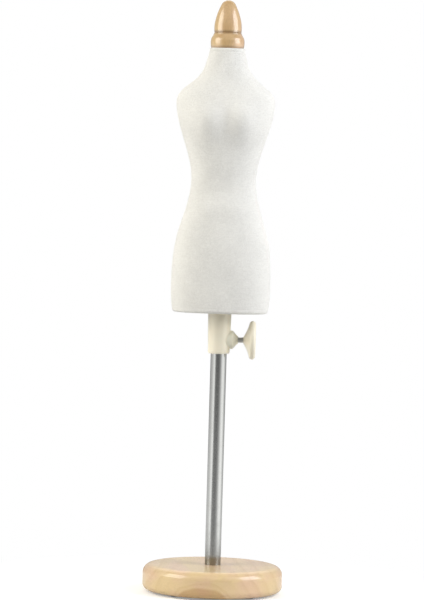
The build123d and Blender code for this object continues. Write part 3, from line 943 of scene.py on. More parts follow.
BASE_WOOD = Wood(
    name="base_wood", colour=(0.69, 0.505, 0.30, 1), late=(0.50, 0.30, 0.125, 1), rough=0.45,
    grain=Axis.Y, tilt=3.0, pith=(-12.0, 0.0, -20.0), ring_spacing=9.0, wander=14.0, figure=0.28,
    heart=(0.52, 0.32, 0.14, 1), heart_radius=31.5, heart_share=0.85, lacquer=0.7, lacquer_rough=0.15,
)
FINIAL_WOOD = Wood(
    name="finial_wood", colour=(0.553, 0.368, 0.178, 1), late=(0.41, 0.25, 0.10, 1), rough=0.36,
    grain=Axis.Z, tilt=3.0, pith=(9.0, 14.0, 0.0), ring_spacing=2.6, wander=4.0, figure=0.35,
    lacquer=0.9, lacquer_rough=0.19, lathe=0.015, fleck=(0.25, 0.15, 0.06, 1),
    # Painted shade in the groove under the cap and at the foot of the ring.
    painted_shade_heights=(560.1, 544.4), painted_shade_reach=2.9,
)
NECK_WOOD = Wood(
    name="neck_wood", colour=(0.72, 0.52, 0.31, 1), late=(0.50, 0.30, 0.15, 1), rough=0.62, grain=Axis.Z,
    pith=(-15.0, 10.0, 0.0), ring_spacing=2.2, wander=4.0, figure=0.7, lacquer=0.0, lathe=0.05,
)
PLATE_PLY = Plywood(name="plate_ply", colour=(0.70, 0.52, 0.33, 1), rough=0.6)
JERSEY = Knit(name="jersey", colour=(0.885, 0.885, 0.86, 1), rough=0.86)
HEM_COTTON = WovenCloth(name="hem_cotton", colour=(0.80, 0.77, 0.69, 1), rough=0.85)
IVORY = MouldedPlastic(name="ivory", colour=(0.84, 0.79, 0.645, 1), worn=(0.95, 0.93, 0.85, 1), rough=0.30)
# The sleeve's boss gets painted shade beyond 12.1 mm from the pole.
SLEEVE_IVORY = replace(IVORY, name="ivory_sleeve", boss_shade_from=12.1)
CLEAR_NYLON = MouldedPlastic(
    name="clear_nylon", colour=(0.82, 0.82, 0.78, 1), worn=(0.9, 0.9, 0.88, 1), rough=0.3,
    body_light=0.3, clear=0.25,
)
GREY_CONDUIT = MouldedPlastic(
    name="grey_conduit", colour=(0.36, 0.37, 0.38, 1), worn=(0.5, 0.5, 0.51, 1), rough=0.45, body_light=0.0
)
BLACK_PLASTIC = MouldedPlastic(
    name="black_plastic", colour=(0.02, 0.02, 0.02, 1), worn=(0.08, 0.08, 0.08, 1), rough=0.4, body_light=0.0
)
BRIGHT_STEEL = Metal(
    name="bright_steel", colour=(0.31, 0.313, 0.304, 1), rough=0.20, brushed=0.5, line_depth=0.003
)
THREAD_STEEL = Metal(
    name="thread_steel", colour=(0.62, 0.625, 0.60, 1), rough=0.30, lines="Round",
    tarnish=(0.12, 0.12, 0.11, 1), tarnish_share=0.6,
)
ZINC = Metal(name="zinc", colour=(0.52, 0.53, 0.54, 1), rough=0.32, lines="Round", tarnish_share=0.35)
BRASS = Metal(
    name="brass", colour=(0.76, 0.55, 0.25, 1), rough=0.28, lines="Round", tarnish=(0.30, 0.19, 0.08, 1),
    tarnish_share=0.4,
)
CORE_FOAM = Foam(name="core_foam", colour=(0.86, 0.86, 0.84, 1), rough=0.8)
FOOT_RUBBER = Rubber(name="foot_rubber", colour=(0.03, 0.03, 0.032, 1), rough=0.75)


# ---------------------------------------------------------------- the form


@dataclass
class Assembly:
    """A sub-assembly of the form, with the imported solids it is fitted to."""

    nodes: dict[str, Piece]

    def build(self) -> list[Piece]:
        """Make the sub-assembly's own pieces."""
        raise NotImplementedError

    def dress(self) -> None:
        """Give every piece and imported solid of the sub-assembly its finish."""
        raise NotImplementedError


@dataclass
class Base(Assembly):
    """The round wooden base with its rubber feet and the bolt that holds the pole."""

    foot_edge_round: float = 0.45
    foot_rim: float = 1.1
    foot_slope: float = 0.5
    foot_dish: float = 0.35
    foot_sides: int = 64

    def build(self) -> list[Piece]:
        """Make the four feet, each a pad with a rounded rim and a dished face.

        Returns:
            The feet.
        """
        low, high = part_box("base_feet")
        radius = self.foot_radius()
        reach = high.x - radius
        clear_selection()
        bpy.ops.mesh.primitive_cylinder_add(
            vertices=self.foot_sides, radius=radius, depth=high.z - low.z,
            location=(reach, reach, (low.z + high.z) / 2),
        )
        foot = christen("foot_pad_1")
        with editing(foot, "EDGE"):
            pick(foot, "edges", lambda edge: abs(middle(edge).z * 2 + (high.z - low.z)) < TOUCH)
            bpy.ops.mesh.bevel(offset=self.foot_edge_round * MM, segments=4, affect="EDGES")
            pick(foot, "faces", lambda face: face.normal.z < -FLAT)
            bpy.ops.mesh.inset(thickness=self.foot_rim * MM)
            bpy.ops.mesh.inset(thickness=self.foot_slope * MM, depth=-self.foot_dish * MM)
        settle(foot)
        feet = [foot]
        for index, (x, y) in enumerate(((-1, 1), (-1, -1), (1, -1)), start=2):
            shift = Vector((x * reach - reach, y * reach - reach, 0))
            feet.append(copy_of(foot, f"foot_pad_{index}", shift))
        for piece in feet:
            FOOT_RUBBER.dress(piece)
            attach(piece, Body.STAND.value)
        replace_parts(foot, "base_feet")
        return feet

    def foot_radius(self) -> float:
        """Radius of a foot, from the spread of its vertices round its own middle, in metres."""
        points = [vertex.co for vertex in self.nodes["base_feet"].data.vertices]
        corner = [point for point in points if point.x > 0 and point.y > 0]
        return (max(point.x for point in corner) - min(point.x for point in corner)) / 2

    def dress(self) -> None:
        """Lacquer the disc and plate its hardware."""
        BASE_WOOD.dress(self.nodes["base_disc"])
        ZINC.dress(self.nodes["base_bolt"], self.nodes["base_washer"], self.nodes["base_lock_washer"])


@dataclass
class Pole(Assembly):
    """The steel tube, with what is fitted in its ends and the liner that runs on it."""

    wall: float = 1.5
    rim_round: float = 0.4
    rim_band: float = 0.2
    cuts: int = 23
    sides: int = 160

    def build(self) -> list[Piece]:
        """Draw the tube as a fine round wall with eased rims.

        Returns:
            The tube.
        """
        low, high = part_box("pole_tube")
        radius = (high.x - low.x) / 2
        clear_selection()
        bpy.ops.mesh.primitive_cylinder_add(
            vertices=self.sides, radius=radius, depth=high.z - low.z, end_fill_type="NOTHING",
            location=(0, 0, (low.z + high.z) / 2),
        )
        tube = christen("pole_tube_drawn")
        with editing(tube, "EDGE"):
            pick(tube, "edges", lambda edge: abs((edge.verts[0].co - edge.verts[1].co).z) > radius)
            bpy.ops.mesh.subdivide(number_cuts=self.cuts)
            bpy.ops.mesh.select_all(action="SELECT")
            bpy.ops.mesh.normals_make_consistent(inside=False)
        finish_with(tube, "SOLIDIFY", thickness=self.wall * MM, offset=-1)
        with editing(tube, "EDGE"):
            top = (high.z - low.z) / 2
            pick(
                tube, "edges",
                lambda edge: abs(abs(middle(edge).z) - top) < TOUCH
                and middle(edge).xy.length > radius - self.rim_band * MM
                and abs(edge.verts[0].co.xy.length - edge.verts[1].co.xy.length) < TOUCH,
            )
            bpy.ops.mesh.bevel(offset=self.rim_round * MM, segments=3, affect="EDGES")
        settle(tube)
        BRIGHT_STEEL.dress(tube)
        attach(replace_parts(tube, "pole_tube"), Body.STAND.value)
        return [tube]

    def dress(self) -> None:
        """Finish the insert, the plug and the liner."""
        ZINC.dress(self.nodes["pole_foot_insert"])
        BLACK_PLASTIC.dress(self.nodes["pole_top_plug"])
        CLEAR_NYLON.dress(self.nodes["pole_liner"])


@dataclass
class Clamp(Assembly):
    """The plastic sleeve under the torso, with its screw and round knob."""

    thread_pitch: float = 1.0
    thread_depth: float = 0.6
    thread_crest: float = 0.16
    thread_root: float = 0.86
    thread_sink: float = 0.1
    thread_start: float = 1.0
    thread_steps: int = 48
    tip_bevel: tuple[float, float] = (0.4, 0.5)
    hub_round: float = 0.3
    hub_radius: float = 3.7
    flare_length: float = 5.8
    flare_sag: float = -0.42
    rim_round: float = 3.25
    face_land: float = 4.2
    face_recess: float = 0.5
    recess_edge: tuple[tuple[float, float], ...] = ((0.0, 0.0), (0.12, 0.35), (0.4, 0.7))
    recess_reach: float = 1.1
    gate_radius: float = 2.2
    gate_slope: float = 0.3
    gate_rise: float = 0.15
    flare_steps: int = 14
    rim_steps: int = 24

    def axis_point(self, place: float) -> Vector:
        """A point on the clamp screw's axis.

        Args:
            place: How far it is from the pole's axis, in metres.

        Returns:
            The point.
        """
        low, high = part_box("clamp_screw")
        return Vector((place, 0, (low.z + high.z) / 2))

    def build(self) -> list[Piece]:
        """Make the threaded screw and the knob.

        Returns:
            Both pieces.
        """
        screw = self.screw()
        knob = self.knob()
        THREAD_STEEL.dress(screw)
        IVORY.dress(knob)
        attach(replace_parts(screw, "clamp_screw"), Body.KNOB.value)
        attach(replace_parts(knob, "clamp_knob"), Body.KNOB.value)
        return [screw, knob]

    def screw(self) -> Piece:
        """A round core with a real helical thread wound on it."""
        low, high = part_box("clamp_screw")
        knob_low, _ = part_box("clamp_knob")
        radius = (high.z - low.z) / 2 / MM
        root = radius - self.thread_depth
        length = (high.x - low.x) / MM
        thread_end = (knob_low.x - low.x) / MM + self.thread_pitch
        outline = [
            (0.0, 0.0), (0.0, root - self.tip_bevel[1]), (self.tip_bevel[0], root), (thread_end, root),
            (thread_end, radius), (length, radius), (length, 0.0),
        ]
        core = turned("clamp_screw_threaded", outline, Axis.X, self.axis_point(low.x), steps=64)
        crest, foot = self.thread_crest / 2, self.thread_root / 2
        inside = root - self.thread_sink
        flank = [(foot, inside), (foot, root), (crest, radius)]
        ring = [(-place, out) for place, out in flank] + flank[::-1]
        turns = int(thread_end / self.thread_pitch) - 1
        start = self.axis_point(0)
        ridge = chain("thread_ridge", [Vector((place * MM, 0, out * MM)) for place, out in ring])
        with editing(ridge):
            bpy.ops.mesh.select_all(action="SELECT")
            bpy.ops.mesh.edge_face_add()
            bpy.ops.mesh.delete(type="ONLY_FACE")
        fix_place(ridge)
        finish_with(
            ridge, "SCREW", axis="X", screw_offset=self.thread_pitch * MM, iterations=turns,
            steps=self.thread_steps, render_steps=self.thread_steps, use_merge_vertices=False,
            use_smooth_shade=True,
        )
        with editing(ridge):
            bpy.ops.mesh.select_non_manifold(extend=False)
            bpy.ops.mesh.edge_face_add()
        ridge.location = start + Vector((low.x + self.thread_start * MM, 0, 0))
        fix_place(ridge)
        core.select_set(True)
        bpy.context.view_layer.objects.active = core
        bpy.ops.object.join()
        return settle(core, angle=40)

    def knob(self) -> Piece:
        """A flared round knob with a full rim, a recessed face and the mark of its moulding gate."""
        low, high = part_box("clamp_knob")
        radius = (high.z - low.z) / 2 / MM
        length = (high.x - low.x) / MM
        rim_start = self.flare_length
        shoulder = radius - self.rim_round
        nose = (self.hub_round, self.hub_radius)
        outline = [(0.0, 0.0), (0.0, self.hub_radius - self.hub_round), nose]
        outline += arc(nose, (rim_start, shoulder), self.flare_sag, self.flare_steps)
        for step in range(self.rim_steps + 1):
            angle = math.pi * step / self.rim_steps
            along = rim_start + self.rim_round * (1 - math.cos(angle))
            outline.append((along, shoulder + self.rim_round * math.sin(angle)))
        land = shoulder - self.face_land
        floor = length - self.face_recess
        outline += [(length - depth, land - inwards) for depth, inwards in self.recess_edge]
        outline += [
            (floor, land - self.recess_reach), (floor, self.gate_radius + self.gate_slope),
            (floor + self.gate_rise, self.gate_radius), (floor + self.gate_rise, 0.0),
        ]
        return settle(turned("knob_moulded", outline, Axis.X, self.axis_point(low.x), steps=128), angle=32)

    def dress(self) -> None:
        """Finish the sleeve and the small parts inside it."""
        SLEEVE_IVORY.dress(self.nodes["clamp_sleeve"])
        ZINC.dress(self.nodes["sleeve_screws"])
        BRASS.dress(self.nodes["clamp_nut"])
        CLEAR_NYLON.dress(self.nodes["clamp_pad"])


@dataclass
class Torso(Assembly):
    """The foam body in its stretched jersey cover, with the hem panel and its tacks."""

    sides: int = 168
    seam_crowd: float = 0.55
    row_step: float = 1.9
    edge_step: float = 0.45
    cloth: float = 0.8
    hem_round: float = 3.0
    turn_in: tuple[tuple[float, float], ...] = (
        (8.0, 0.4), (7.4, 0.4), (6.8, 0.4), (6.0, 0.38), (5.2, 0.3), (4.4, 0.17), (3.7, 0.05)
    )
    neck_round: float = 1.2
    neck_hole: float = 3.6
    hem_band: float = 9.0
    neck_band: float = 12.0
    hem_steps: int = 6
    neck_steps: int = 5
    neck_insets: tuple[float, ...] = (2.4, 4.0, 6.5, 9.5, 13.0)
    fold_rise: float = 4.4
    fold_depth: float = 0.16
    crease_drop: float = 3.3
    crease_depth: float = 0.34
    seam_depth: float = 0.30
    seam_width: float = 0.7
    seam_welt: tuple[float, float, float] = (1.9, 0.8, 0.45)
    seam_pulls: tuple[float, float] = (0.25, 2.1)
    unevenness: float = 0.16
    slow_wave: float = 0.045
    fine_wave: float = 0.16
    fine_share: float = 0.05
    ease_from: tuple[float, float] = (2.0, 4.0)
    ease_band: float = 10.0
    ripple_wave: float = 2.4
    fold_width: float = 0.55
    hem_swell: tuple[float, float, float] = (2.4, 1.6, 0.10)
    neck_swell: tuple[float, float, float] = (1.9, 1.3, 0.16)
    crease_width: float = 0.45
    second_crease: tuple[float, float, float] = (2.2, 0.5, 0.12)
    gathers: int = 46
    gather_depth: float = 0.28
    tack_dome: float = 0.24
    tack_radius: float = 2.2
    tack_shank: float = 0.6
    tack_lift: float = 0.33
    tack_sink: float = 1.6
    tack_point: float = 1.4
    panel_rings: int = 16
    panel_cloth: float = 0.5
    panel_lap: float = 0.6
    panel_drop: float = 0.25

    def outer_skin(self) -> BVHTree:
        """The surface of the two packed cover shells."""
        return skin_of(("cover_front", "cover_back"))

    def seam_angle(self, share: float) -> float:
        """Angle of a column of the cover, with the columns crowded at the two side seams.

        Args:
            share: How far round the column is, from 0 to 1.

        Returns:
            The angle in radians, counted from the seam on the knob's side.
        """
        turn = 2 * math.pi * share
        return turn - self.seam_crowd / 2 * math.sin(2 * turn)

    def meridian(self) -> list[tuple[float, float]]:
        """The way up the cover, as (height, inset from the outside), in millimetres, from under the hem."""
        low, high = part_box("cover_front")
        hem, top = low.z / MM, high.z / MM
        rows = [(hem + rise, inset) for inset, rise in self.turn_in]
        for step in range(self.hem_steps + 1):
            angle = math.pi / 2 * step / self.hem_steps
            rise, inset = 1 - math.cos(angle), 1 - math.sin(angle)
            rows.append((hem + self.hem_round * rise, self.hem_round * inset))
        height = hem + self.hem_round + self.edge_step
        while height < hem + self.hem_band:
            rows.append((height, 0.0))
            height += self.edge_step
        fine_from = top - self.neck_band
        while height < fine_from:
            rows.append((height, 0.0))
            height += self.row_step
        height = fine_from
        while height < top - self.neck_round - 0.05:
            rows.append((height, 0.0))
            height += self.edge_step
        for step in range(self.neck_steps + 1):
            angle = math.pi / 2 * step / self.neck_steps
            drop, inset = 1 - math.sin(angle), 1 - math.cos(angle)
            rows.append((top - self.neck_round * drop, self.neck_round * inset))
        rows += [(top, inset) for inset in self.neck_insets]
        return rows

    def cover(self) -> Piece:
        """One stretched jersey sheet, built up ring by ring and drawn onto the body."""
        skin = self.outer_skin()
        rows = self.meridian()
        low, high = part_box("cover_front")
        hem, top = low.z / MM, high.z / MM
        clear_selection()
        bpy.ops.mesh.primitive_circle_add(
            vertices=self.sides, radius=50 * MM, fill_type="NOTHING", location=(0, 0, rows[0][0] * MM)
        )
        cover = christen("jersey_cover")
        with editing(cover):
            bpy.ops.mesh.select_all(action="SELECT")
            for (start, _), (end, _) in zip(rows, rows[1:]):
                bpy.ops.mesh.extrude_region_move(TRANSFORM_OT_translate={"value": (0, 0, (end - start) * MM)})
        fix_place(cover)
        body_low, body_top = (hem + self.hem_round) * MM, (top - self.neck_round) * MM
        columns = [self.seam_angle(index / self.sides) for index in range(self.sides)]
        lengths = [0.0]
        for index, (height, inset) in enumerate(rows):
            level = min(max(height * MM, body_low), body_top)
            for column, angle in enumerate(columns):
                way = Vector((math.cos(angle), math.sin(angle), 0))
                hit, _, _, _ = skin.ray_cast(Vector((0, 0, level)) + way * OUTSIDE, -way)
                reach = hit.xy.length - inset * MM
                if height > top - self.neck_round / 2 and inset >= self.neck_insets[-1]:
                    reach = max(reach, self.neck_hole * MM)
                spot = Vector((way.x * reach, way.y * reach, height * MM))
                cover.data.vertices[index * self.sides + column].co = spot
            if index:
                here = cover.data.vertices[index * self.sides].co
                below = cover.data.vertices[(index - 1) * self.sides].co
                lengths.append(lengths[-1] + (here - below).length)
        cover.data.update()
        self.map_stitches(cover, [length / lengths[-1] for length in lengths])
        self.work_cloth(cover, hem, top)
        face_outwards(cover)
        finish_with(cover, "SOLIDIFY", thickness=self.cloth * MM, offset=-1)
        settle(cover, angle=60)
        return cover

    def map_stitches(self, cover: Piece, shares: Sequence[float]) -> None:
        """Lay the map that the stitches follow: across by column, up by length along the cloth.

        Args:
            cover: The cover, its vertices still in rings.
            shares: How far up the cloth each ring is, from 0 to 1.
        """
        layer = cover.data.uv_layers.new(name="stitch_map")
        for polygon in cover.data.polygons:
            columns = [cover.data.loops[loop].vertex_index % self.sides for loop in polygon.loop_indices]
            wraps = max(columns) - min(columns) > 1
            for loop, column in zip(polygon.loop_indices, columns):
                ring = cover.data.loops[loop].vertex_index // self.sides
                across = 1.0 if wraps and column == 0 else column / self.sides
                turn = self.seam_angle(across) / (2 * math.pi)
                layer.data[loop].uv = (turn, shares[ring])

    def work_cloth(self, cover: Piece, hem: float, top: float) -> None:
        """Work the seams, the hem's fold, the neck's creases and a hand-made unevenness into the cloth.

        Args:
            cover: The cover as drawn onto the body.
            hem: The height of the hem, in millimetres.
            top: The height of the neck, in millimetres.
        """

        def move(place: Vector) -> Vector:
            """The shift of a point of the cloth."""
            height = place.z / MM
            radial = Vector((place.x, place.y, 0))
            outward = radial.normalized()
            point = place / MM
            shift = self.unevenness * noise.noise(point * self.slow_wave)
            shift += self.fine_share * noise.noise(point * self.fine_wave)
            low, high = self.ease_from
            shift *= level_share((height - hem - low) / self.ease_band)
            shift *= level_share((top - high - height) / self.ease_band)
            off_seam = abs(place.y) / MM / self.seam_width
            off, width, share = self.seam_welt
            seam = bell(off_seam, 1.0) - share * bell(off_seam - off, width)
            pull = 1 + self.seam_pulls[0] * math.sin(height * self.seam_pulls[1])
            shift -= self.seam_depth * seam * pull * (1 if height < top - 0.5 else 0)
            round_way = outward * self.ripple_wave
            ripple = 0.5 + 0.5 * noise.noise(Vector((round_way.x, round_way.y, 3.7)))
            fold = bell(height - hem - self.fold_rise - 0.5 * ripple, self.fold_width)
            shift -= self.fold_depth * fold * (0.6 + 0.8 * ripple)
            off, width, rise = self.hem_swell
            shift += rise * bell(height - hem - off, width)
            drop = top - height
            if drop > 0.1:
                off, width, rise = self.neck_swell
                shift += rise * bell(drop - off, width)
                crease = bell(drop - self.crease_drop - 0.7 * ripple, self.crease_width)
                shift -= self.crease_depth * crease * (0.5 + ripple) * 0.8
                off, width, depth = self.second_crease
                shift -= depth * bell(drop - self.crease_drop - off - 0.9 * ripple, width) * ripple
            result = outward * shift * MM
            if height < hem + 0.2:
                gather = max(0.0, math.sin(math.atan2(place.y, place.x) * self.gathers + 3 * ripple))
                result = Vector((0, 0, -self.gather_depth * gather * ripple * MM))
            if drop < 0.05:
                result = Vector((0, 0, 0))
            return result

        sculpt(cover, move)

    def hem_panel(self) -> Piece:
        """The woven panel under the body, laid in rings from the sleeve out to the turned-in jersey."""
        low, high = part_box("hem_cover")
        skin = skin_of(("hem_cover",))
        rings = self.panel_rings
        clear_selection()
        bpy.ops.mesh.primitive_circle_add(
            vertices=self.sides, radius=12 * MM, fill_type="NOTHING", location=(0, 0, high.z)
        )
        panel = christen("hem_panel")
        with editing(panel):
            bpy.ops.mesh.select_all(action="SELECT")
            for _ in range(rings):
                bpy.ops.mesh.extrude_region_move(TRANSFORM_OT_translate={"value": (0, 0, 0)})
                bpy.ops.transform.resize(value=(1.08, 1.08, 1), center_override=(0, 0, high.z))
        fix_place(panel)
        level = (low.z + high.z) / 2
        for column in range(self.sides):
            angle = 2 * math.pi * column / self.sides
            way = Vector((math.cos(angle), math.sin(angle), 0))
            inner, _, _, _ = skin.ray_cast(Vector((0, 0, level)), way)
            outer, _, _, _ = skin.ray_cast(Vector((0, 0, level)) + way * OUTSIDE, -way)
            start, end = inner.xy.length, outer.xy.length + self.panel_lap * MM
            for ring in range(rings + 1):
                share = ring / rings
                reach = start + (end - start) * share
                sag = 0.25 * math.sin(math.pi * share) + 0.35 * max(0.0, share - 0.9) * 10 * 0.6
                pucker = 0.06 * noise.noise(Vector((way.x * reach, way.y * reach, 0)) / MM * 0.22)
                rise = (self.cloth - sag + pucker - self.panel_drop) * MM
                place = Vector((way.x * reach, way.y * reach, low.z + rise))
                panel.data.vertices[ring * self.sides + column].co = place
        panel.data.update()
        face_outwards(panel)
        finish_with(panel, "SOLIDIFY", thickness=self.panel_cloth * MM, offset=0)
        return settle(panel, angle=50)

    def tacks(self) -> list[Piece]:
        """Domed upholstery tacks through the turned-in edge of the jersey."""
        _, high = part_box("hem_tacks")
        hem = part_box("cover_front")[0].z
        places = self.tack_places()
        radius, shank = self.tack_radius * MM, self.tack_shank * MM
        clear_selection()
        bpy.ops.mesh.primitive_uv_sphere_add(segments=24, ring_count=12, radius=radius, location=(0, 0, 0))
        tack = christen("hem_tack_01")
        with editing(tack, "FACE"):
            bpy.ops.mesh.select_all(action="SELECT")
            bpy.ops.mesh.bisect(plane_co=(0, 0, 0), plane_no=(0, 0, 1), use_fill=True, clear_outer=True)
            bpy.ops.mesh.select_all(action="SELECT")
            bpy.ops.transform.resize(value=(1, 1, self.tack_dome), center_override=(0, 0, 0))
            pick(tack, "faces", lambda face: face.normal.z > FLAT)
            bpy.ops.mesh.inset(thickness=radius - shank)
            for rise in (high.z - hem - self.tack_sink * MM, self.tack_point * MM):
                bpy.ops.mesh.extrude_region_move(TRANSFORM_OT_translate={"value": (0, 0, rise)})
            bpy.ops.transform.resize(value=(0.08, 0.08, 1), center_override=(0, 0, 0))
        settle(tack)
        tack.data.transform(Matrix.Translation(Vector((places[0].x, places[0].y, hem + self.tack_lift * MM))))
        pieces = [tack]
        for index, place in enumerate(places[1:], start=2):
            shift = Vector((place.x - places[0].x, place.y - places[0].y, 0))
            pieces.append(copy_of(tack, f"hem_tack_{index:02d}", shift))
        for piece in pieces:
            ZINC.dress(piece)
            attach(piece, Body.TORSO.value)
        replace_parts(tack, "hem_tacks")
        return pieces

    def tack_places(self) -> list[Vector]:
        """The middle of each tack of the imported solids, in metres."""
        groups: list[list[Vector]] = []
        for vertex in self.nodes["hem_tacks"].data.vertices:
            for group in groups:
                if (group[0].xy - vertex.co.xy).length < 6 * MM:
                    group.append(vertex.co)
                    break
            else:
                groups.append([vertex.co])
        places = []
        for group in groups:
            xs = [point.x for point in group]
            ys = [point.y for point in group]
            places.append(Vector(((min(xs) + max(xs)) / 2, (min(ys) + max(ys)) / 2, 0)))
        return places

    def build(self) -> list[Piece]:
        """Make the cover, the hem panel and the tacks.

        Returns:
            All of them.
        """
        cover = self.cover()
        panel = self.hem_panel()
        tacks = self.tacks()
        JERSEY.dress(cover)
        HEM_COTTON.dress(panel)
        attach(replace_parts(cover, "cover_front", "cover_back"), Body.TORSO.value)
        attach(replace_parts(panel, "hem_cover"), Body.TORSO.value)
        return [cover, panel, *tacks]

    def dress(self) -> None:
        """Finish what lies under the cover."""
        CORE_FOAM.dress(self.nodes["torso_core"])
        PLATE_PLY.dress(self.nodes["hem_plate"])
        NECK_WOOD.dress(self.nodes["neck_block"])
        GREY_CONDUIT.dress(self.nodes["guide_tube"])


@dataclass
class Finial(Assembly):
    """The turned wooden ring and cap on the neck, on their dowel."""

    def build(self) -> list[Piece]:
        """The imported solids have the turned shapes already."""
        return []

    def dress(self) -> None:
        """Lacquer the ring and the cap."""
        FINIAL_WOOD.dress(self.nodes["finial_ring"], self.nodes["finial_cap"])
        ZINC.dress(self.nodes["finial_dowel"])


# ---------------------------------------------------------------- the studio


@dataclass(frozen=True)
class SoftBox:
    """A flat soft light that faces the form.

    Its azimuth is counted from the camera's side, positive towards the knob.
    """

    name: str
    azimuth: float
    elevation: float
    distance: float
    width: float
    height: float
    level: float
    colour: tuple[float, float, float] = (1.0, 1.0, 1.0)

    def add(self, target: Vector) -> None:
        """Add the light to the scene.

        Args:
            target: The point it faces, in metres.
        """
        light = bpy.data.lights.new(self.name, "AREA")
        light.shape = "RECTANGLE"
        light.size = self.width
        light.size_y = self.height
        light.energy = self.level * math.pi * self.width * self.height
        light.color = self.colour
        turn, rise = math.radians(self.azimuth), math.radians(self.elevation)
        way = Vector((math.sin(turn) * math.cos(rise), -math.cos(turn) * math.cos(rise), math.sin(rise)))
        lamp = bpy.data.objects.new(self.name, light)
        lamp.location = target + way * self.distance
        lamp.rotation_euler = way.to_track_quat("Z", "Y").to_euler()
        bpy.context.scene.collection.objects.link(lamp)


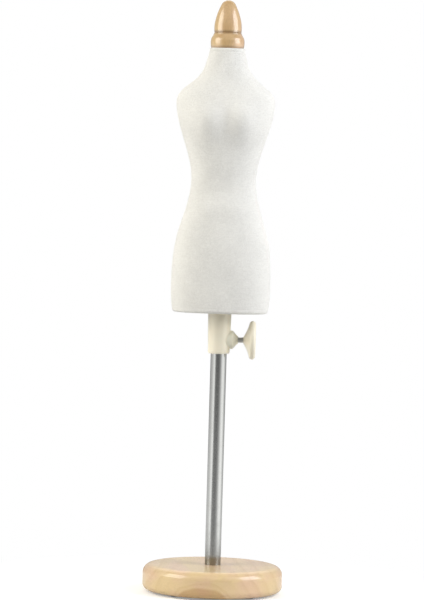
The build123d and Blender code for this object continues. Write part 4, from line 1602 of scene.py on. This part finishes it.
@dataclass(frozen=True)
class Studio:
    """The pale floor, the lights and the camera."""

    camera_distance: float = 3.5
    camera_height: float = 0.475
    aim_height: float = 0.2932
    aim_side: float = -0.0082
    view_height: float = 9.765
    lean: float = 1.645
    boxes: tuple[SoftBox, ...] = (
        SoftBox("left_box", -72, 25, 1.6, 1.1, 1.1, 6.5, (1.0, 0.965, 0.88)),
        SoftBox("right_box", 72, 25, 1.6, 1.1, 1.1, 6.9, (0.985, 0.99, 1.0)),
        SoftBox("top_box", 0, 50, 1.7, 2.0, 1.6, 0.62),
        SoftBox("back_box", 180, 42, 2.4, 2.4, 1.6, 1.0),
    )
    target_height: float = 0.3
    right_card: Curve = ((0.08, 0.0), (0.37, 0.17), (0.60, 0.34), (0.80, 0.78), (0.94, 1.0), (1.0, 1.0))
    left_card: Curve = ((0.36, 0.0), (0.64, 0.18), (0.76, 0.95), (0.88, 1.0), (1.0, 0.6))
    back_card: Curve = ((0.05, 0.17), (0.30, 0.60), (0.74, 0.60), (0.94, 0.25), (1.0, 0.2))
    card_level: float = 2.4
    below_level: float = 0.65
    horizon_level: float = 0.42
    ambient: float = 0.145
    bounce: float = 0.46
    backdrop: float = 0.42
    floor_reach: float = 0.36

    def build(self) -> None:
        """Set up the floor, the world, the lights and the camera."""
        self.floor()
        self.world()
        for box in self.boxes:
            box.add(Vector((0, 0, self.target_height)))
        self.camera()
        bpy.context.scene.view_settings.view_transform = "Standard"

    def floor(self) -> None:
        """A plain pale floor that keeps the form's shadow.

        To the camera alone it glows a little near the form, and is plain white further out.
        """
        clear_selection()
        bpy.ops.mesh.primitive_circle_add(
            vertices=96, radius=self.floor_reach, fill_type="NGON", location=(0, 0, 0)
        )
        floor = christen("studio_floor")
        material = bpy.data.materials.new("studio_floor")
        material.use_nodes = True
        material.node_tree.nodes.clear()
        graph = Graph(material.node_tree)
        place = graph.node("ShaderNodeTexCoord").outputs["Object"]
        reach = graph.length(place)
        far = graph.spread(reach, 0.08, 0.30)
        paint = graph.node("ShaderNodeBsdfDiffuse", {"Color": grey(0.80)})
        glow = graph.node("ShaderNodeEmission", {"Color": grey(1.0), "Strength": 0.30})
        white = graph.node("ShaderNodeEmission", {"Color": grey(1.0), "Strength": 1.0})
        seen = graph.node("ShaderNodeLightPath").outputs["Is Camera Ray"]
        near = graph.node("ShaderNodeAddShader", {0: paint.outputs[0], 1: glow.outputs[0]})
        view = graph.node("ShaderNodeMixShader", {0: far, 1: near.outputs[0], 2: white.outputs[0]})
        lit = graph.node("ShaderNodeMixShader", {0: seen, 1: paint.outputs[0], 2: view.outputs[0]})
        out = graph.node("ShaderNodeOutputMaterial")
        graph.feed(out.inputs["Surface"], lit.outputs[0])
        floor.data.materials.append(material)

    def world(self) -> None:
        """White to the camera, a drawn room to glossy rays, and a plain pale room to everything else.

        The drawn room has cards at both sides, one behind, and bands just above and below the horizon.
        Its side cards are stronger than white below the horizon.
        """
        world = bpy.data.worlds.new("studio_room")
        bpy.context.scene.world = world
        world.use_nodes = True
        world.node_tree.nodes.clear()
        graph = Graph(world.node_tree)
        path = graph.node("ShaderNodeLightPath")
        way = graph.node("ShaderNodeTexCoord").outputs["Generated"]
        side, depth, height = graph.parts(way)
        right = graph.ramp(side, self.right_card)
        left = graph.ramp(graph.sum("MULTIPLY", side, -1.0), self.left_card)
        low_down = graph.spread(height, 0.10, 0.0, 0.0, self.card_level)
        cards = graph.sum("MULTIPLY", graph.sum("ADD", right, left), low_down)
        cards = graph.sum("MULTIPLY", cards, graph.spread(depth, -0.05, 0.35, 1.0, 0.5))
        back = graph.ramp(depth, self.back_card)
        below = graph.spread(height, -0.085, -0.11, 0.0, self.below_level)
        above = graph.spread(height, 0.01, 0.06, 0.0, self.horizon_level)
        horizon = graph.sum("MULTIPLY", above, graph.spread(depth, 0.80, 0.97))
        behind = graph.sum("ADD", graph.sum("MAXIMUM", cards, back), graph.sum("ADD", below, horizon))
        around = graph.spread(height, 0.0, -0.45, self.ambient, self.bounce)
        around = graph.sum("MAXIMUM", around, graph.spread(depth, 0.0, 0.5, 0.0, self.backdrop))
        room = graph.node("ShaderNodeBackground", {"Color": grey(1.0), "Strength": around})
        mirrored = graph.node("ShaderNodeBackground", {"Color": grey(1.0), "Strength": behind})
        white = graph.node("ShaderNodeBackground", {"Color": grey(1.0), "Strength": 1.0})
        rays: Feeds = {0: path.outputs["Is Glossy Ray"], 1: room.outputs[0], 2: mirrored.outputs[0]}
        glossy = graph.node("ShaderNodeMixShader", rays)
        seen = graph.sum("MAXIMUM", path.outputs["Is Camera Ray"], path.outputs["Is Transmission Ray"])
        mixed = graph.node("ShaderNodeMixShader", {0: seen, 1: glossy.outputs[0], 2: white.outputs[0]})
        out = graph.node("ShaderNodeOutputWorld")
        graph.feed(out.inputs["Surface"], mixed.outputs[0])

    def camera(self) -> None:
        """A long lens a little above the middle of the form, turned so that the form leans slightly."""
        data = bpy.data.cameras.new("studio_camera")
        data.sensor_fit = "VERTICAL"
        data.sensor_height = 36.0
        data.sensor_width = 36.0
        data.lens = 18.0 / math.tan(math.radians(self.view_height) / 2)
        data.clip_end = 50.0
        camera = bpy.data.objects.new("studio_camera", data)
        eye = Vector((self.aim_side, -self.camera_distance, self.camera_height))
        aim = Vector((self.aim_side, 0, self.aim_height))
        camera.location = eye
        level = (aim - eye).to_track_quat("-Z", "Y").to_matrix()
        camera.rotation_euler = (level @ Matrix.Rotation(math.radians(self.lean), 3, "Z")).to_euler()
        bpy.context.scene.collection.objects.link(camera)
        bpy.context.scene.camera = camera


def main() -> None:
    """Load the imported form, build and dress each sub-assembly, and set up the studio."""
    logging.basicConfig(level=logging.INFO, format="%(name)s: %(message)s")
    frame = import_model()
    nodes = frame["nodes"]
    for kind in (Base, Pole, Clamp, Torso, Finial):
        assembly = kind(nodes)
        pieces = assembly.build()
        assembly.dress()
        for piece in pieces:
            log.info("%s: %s, %d faces", kind.__name__, piece.name, len(piece.data.polygons))
    Studio().build()


if __name__ == "__main__":
    main()
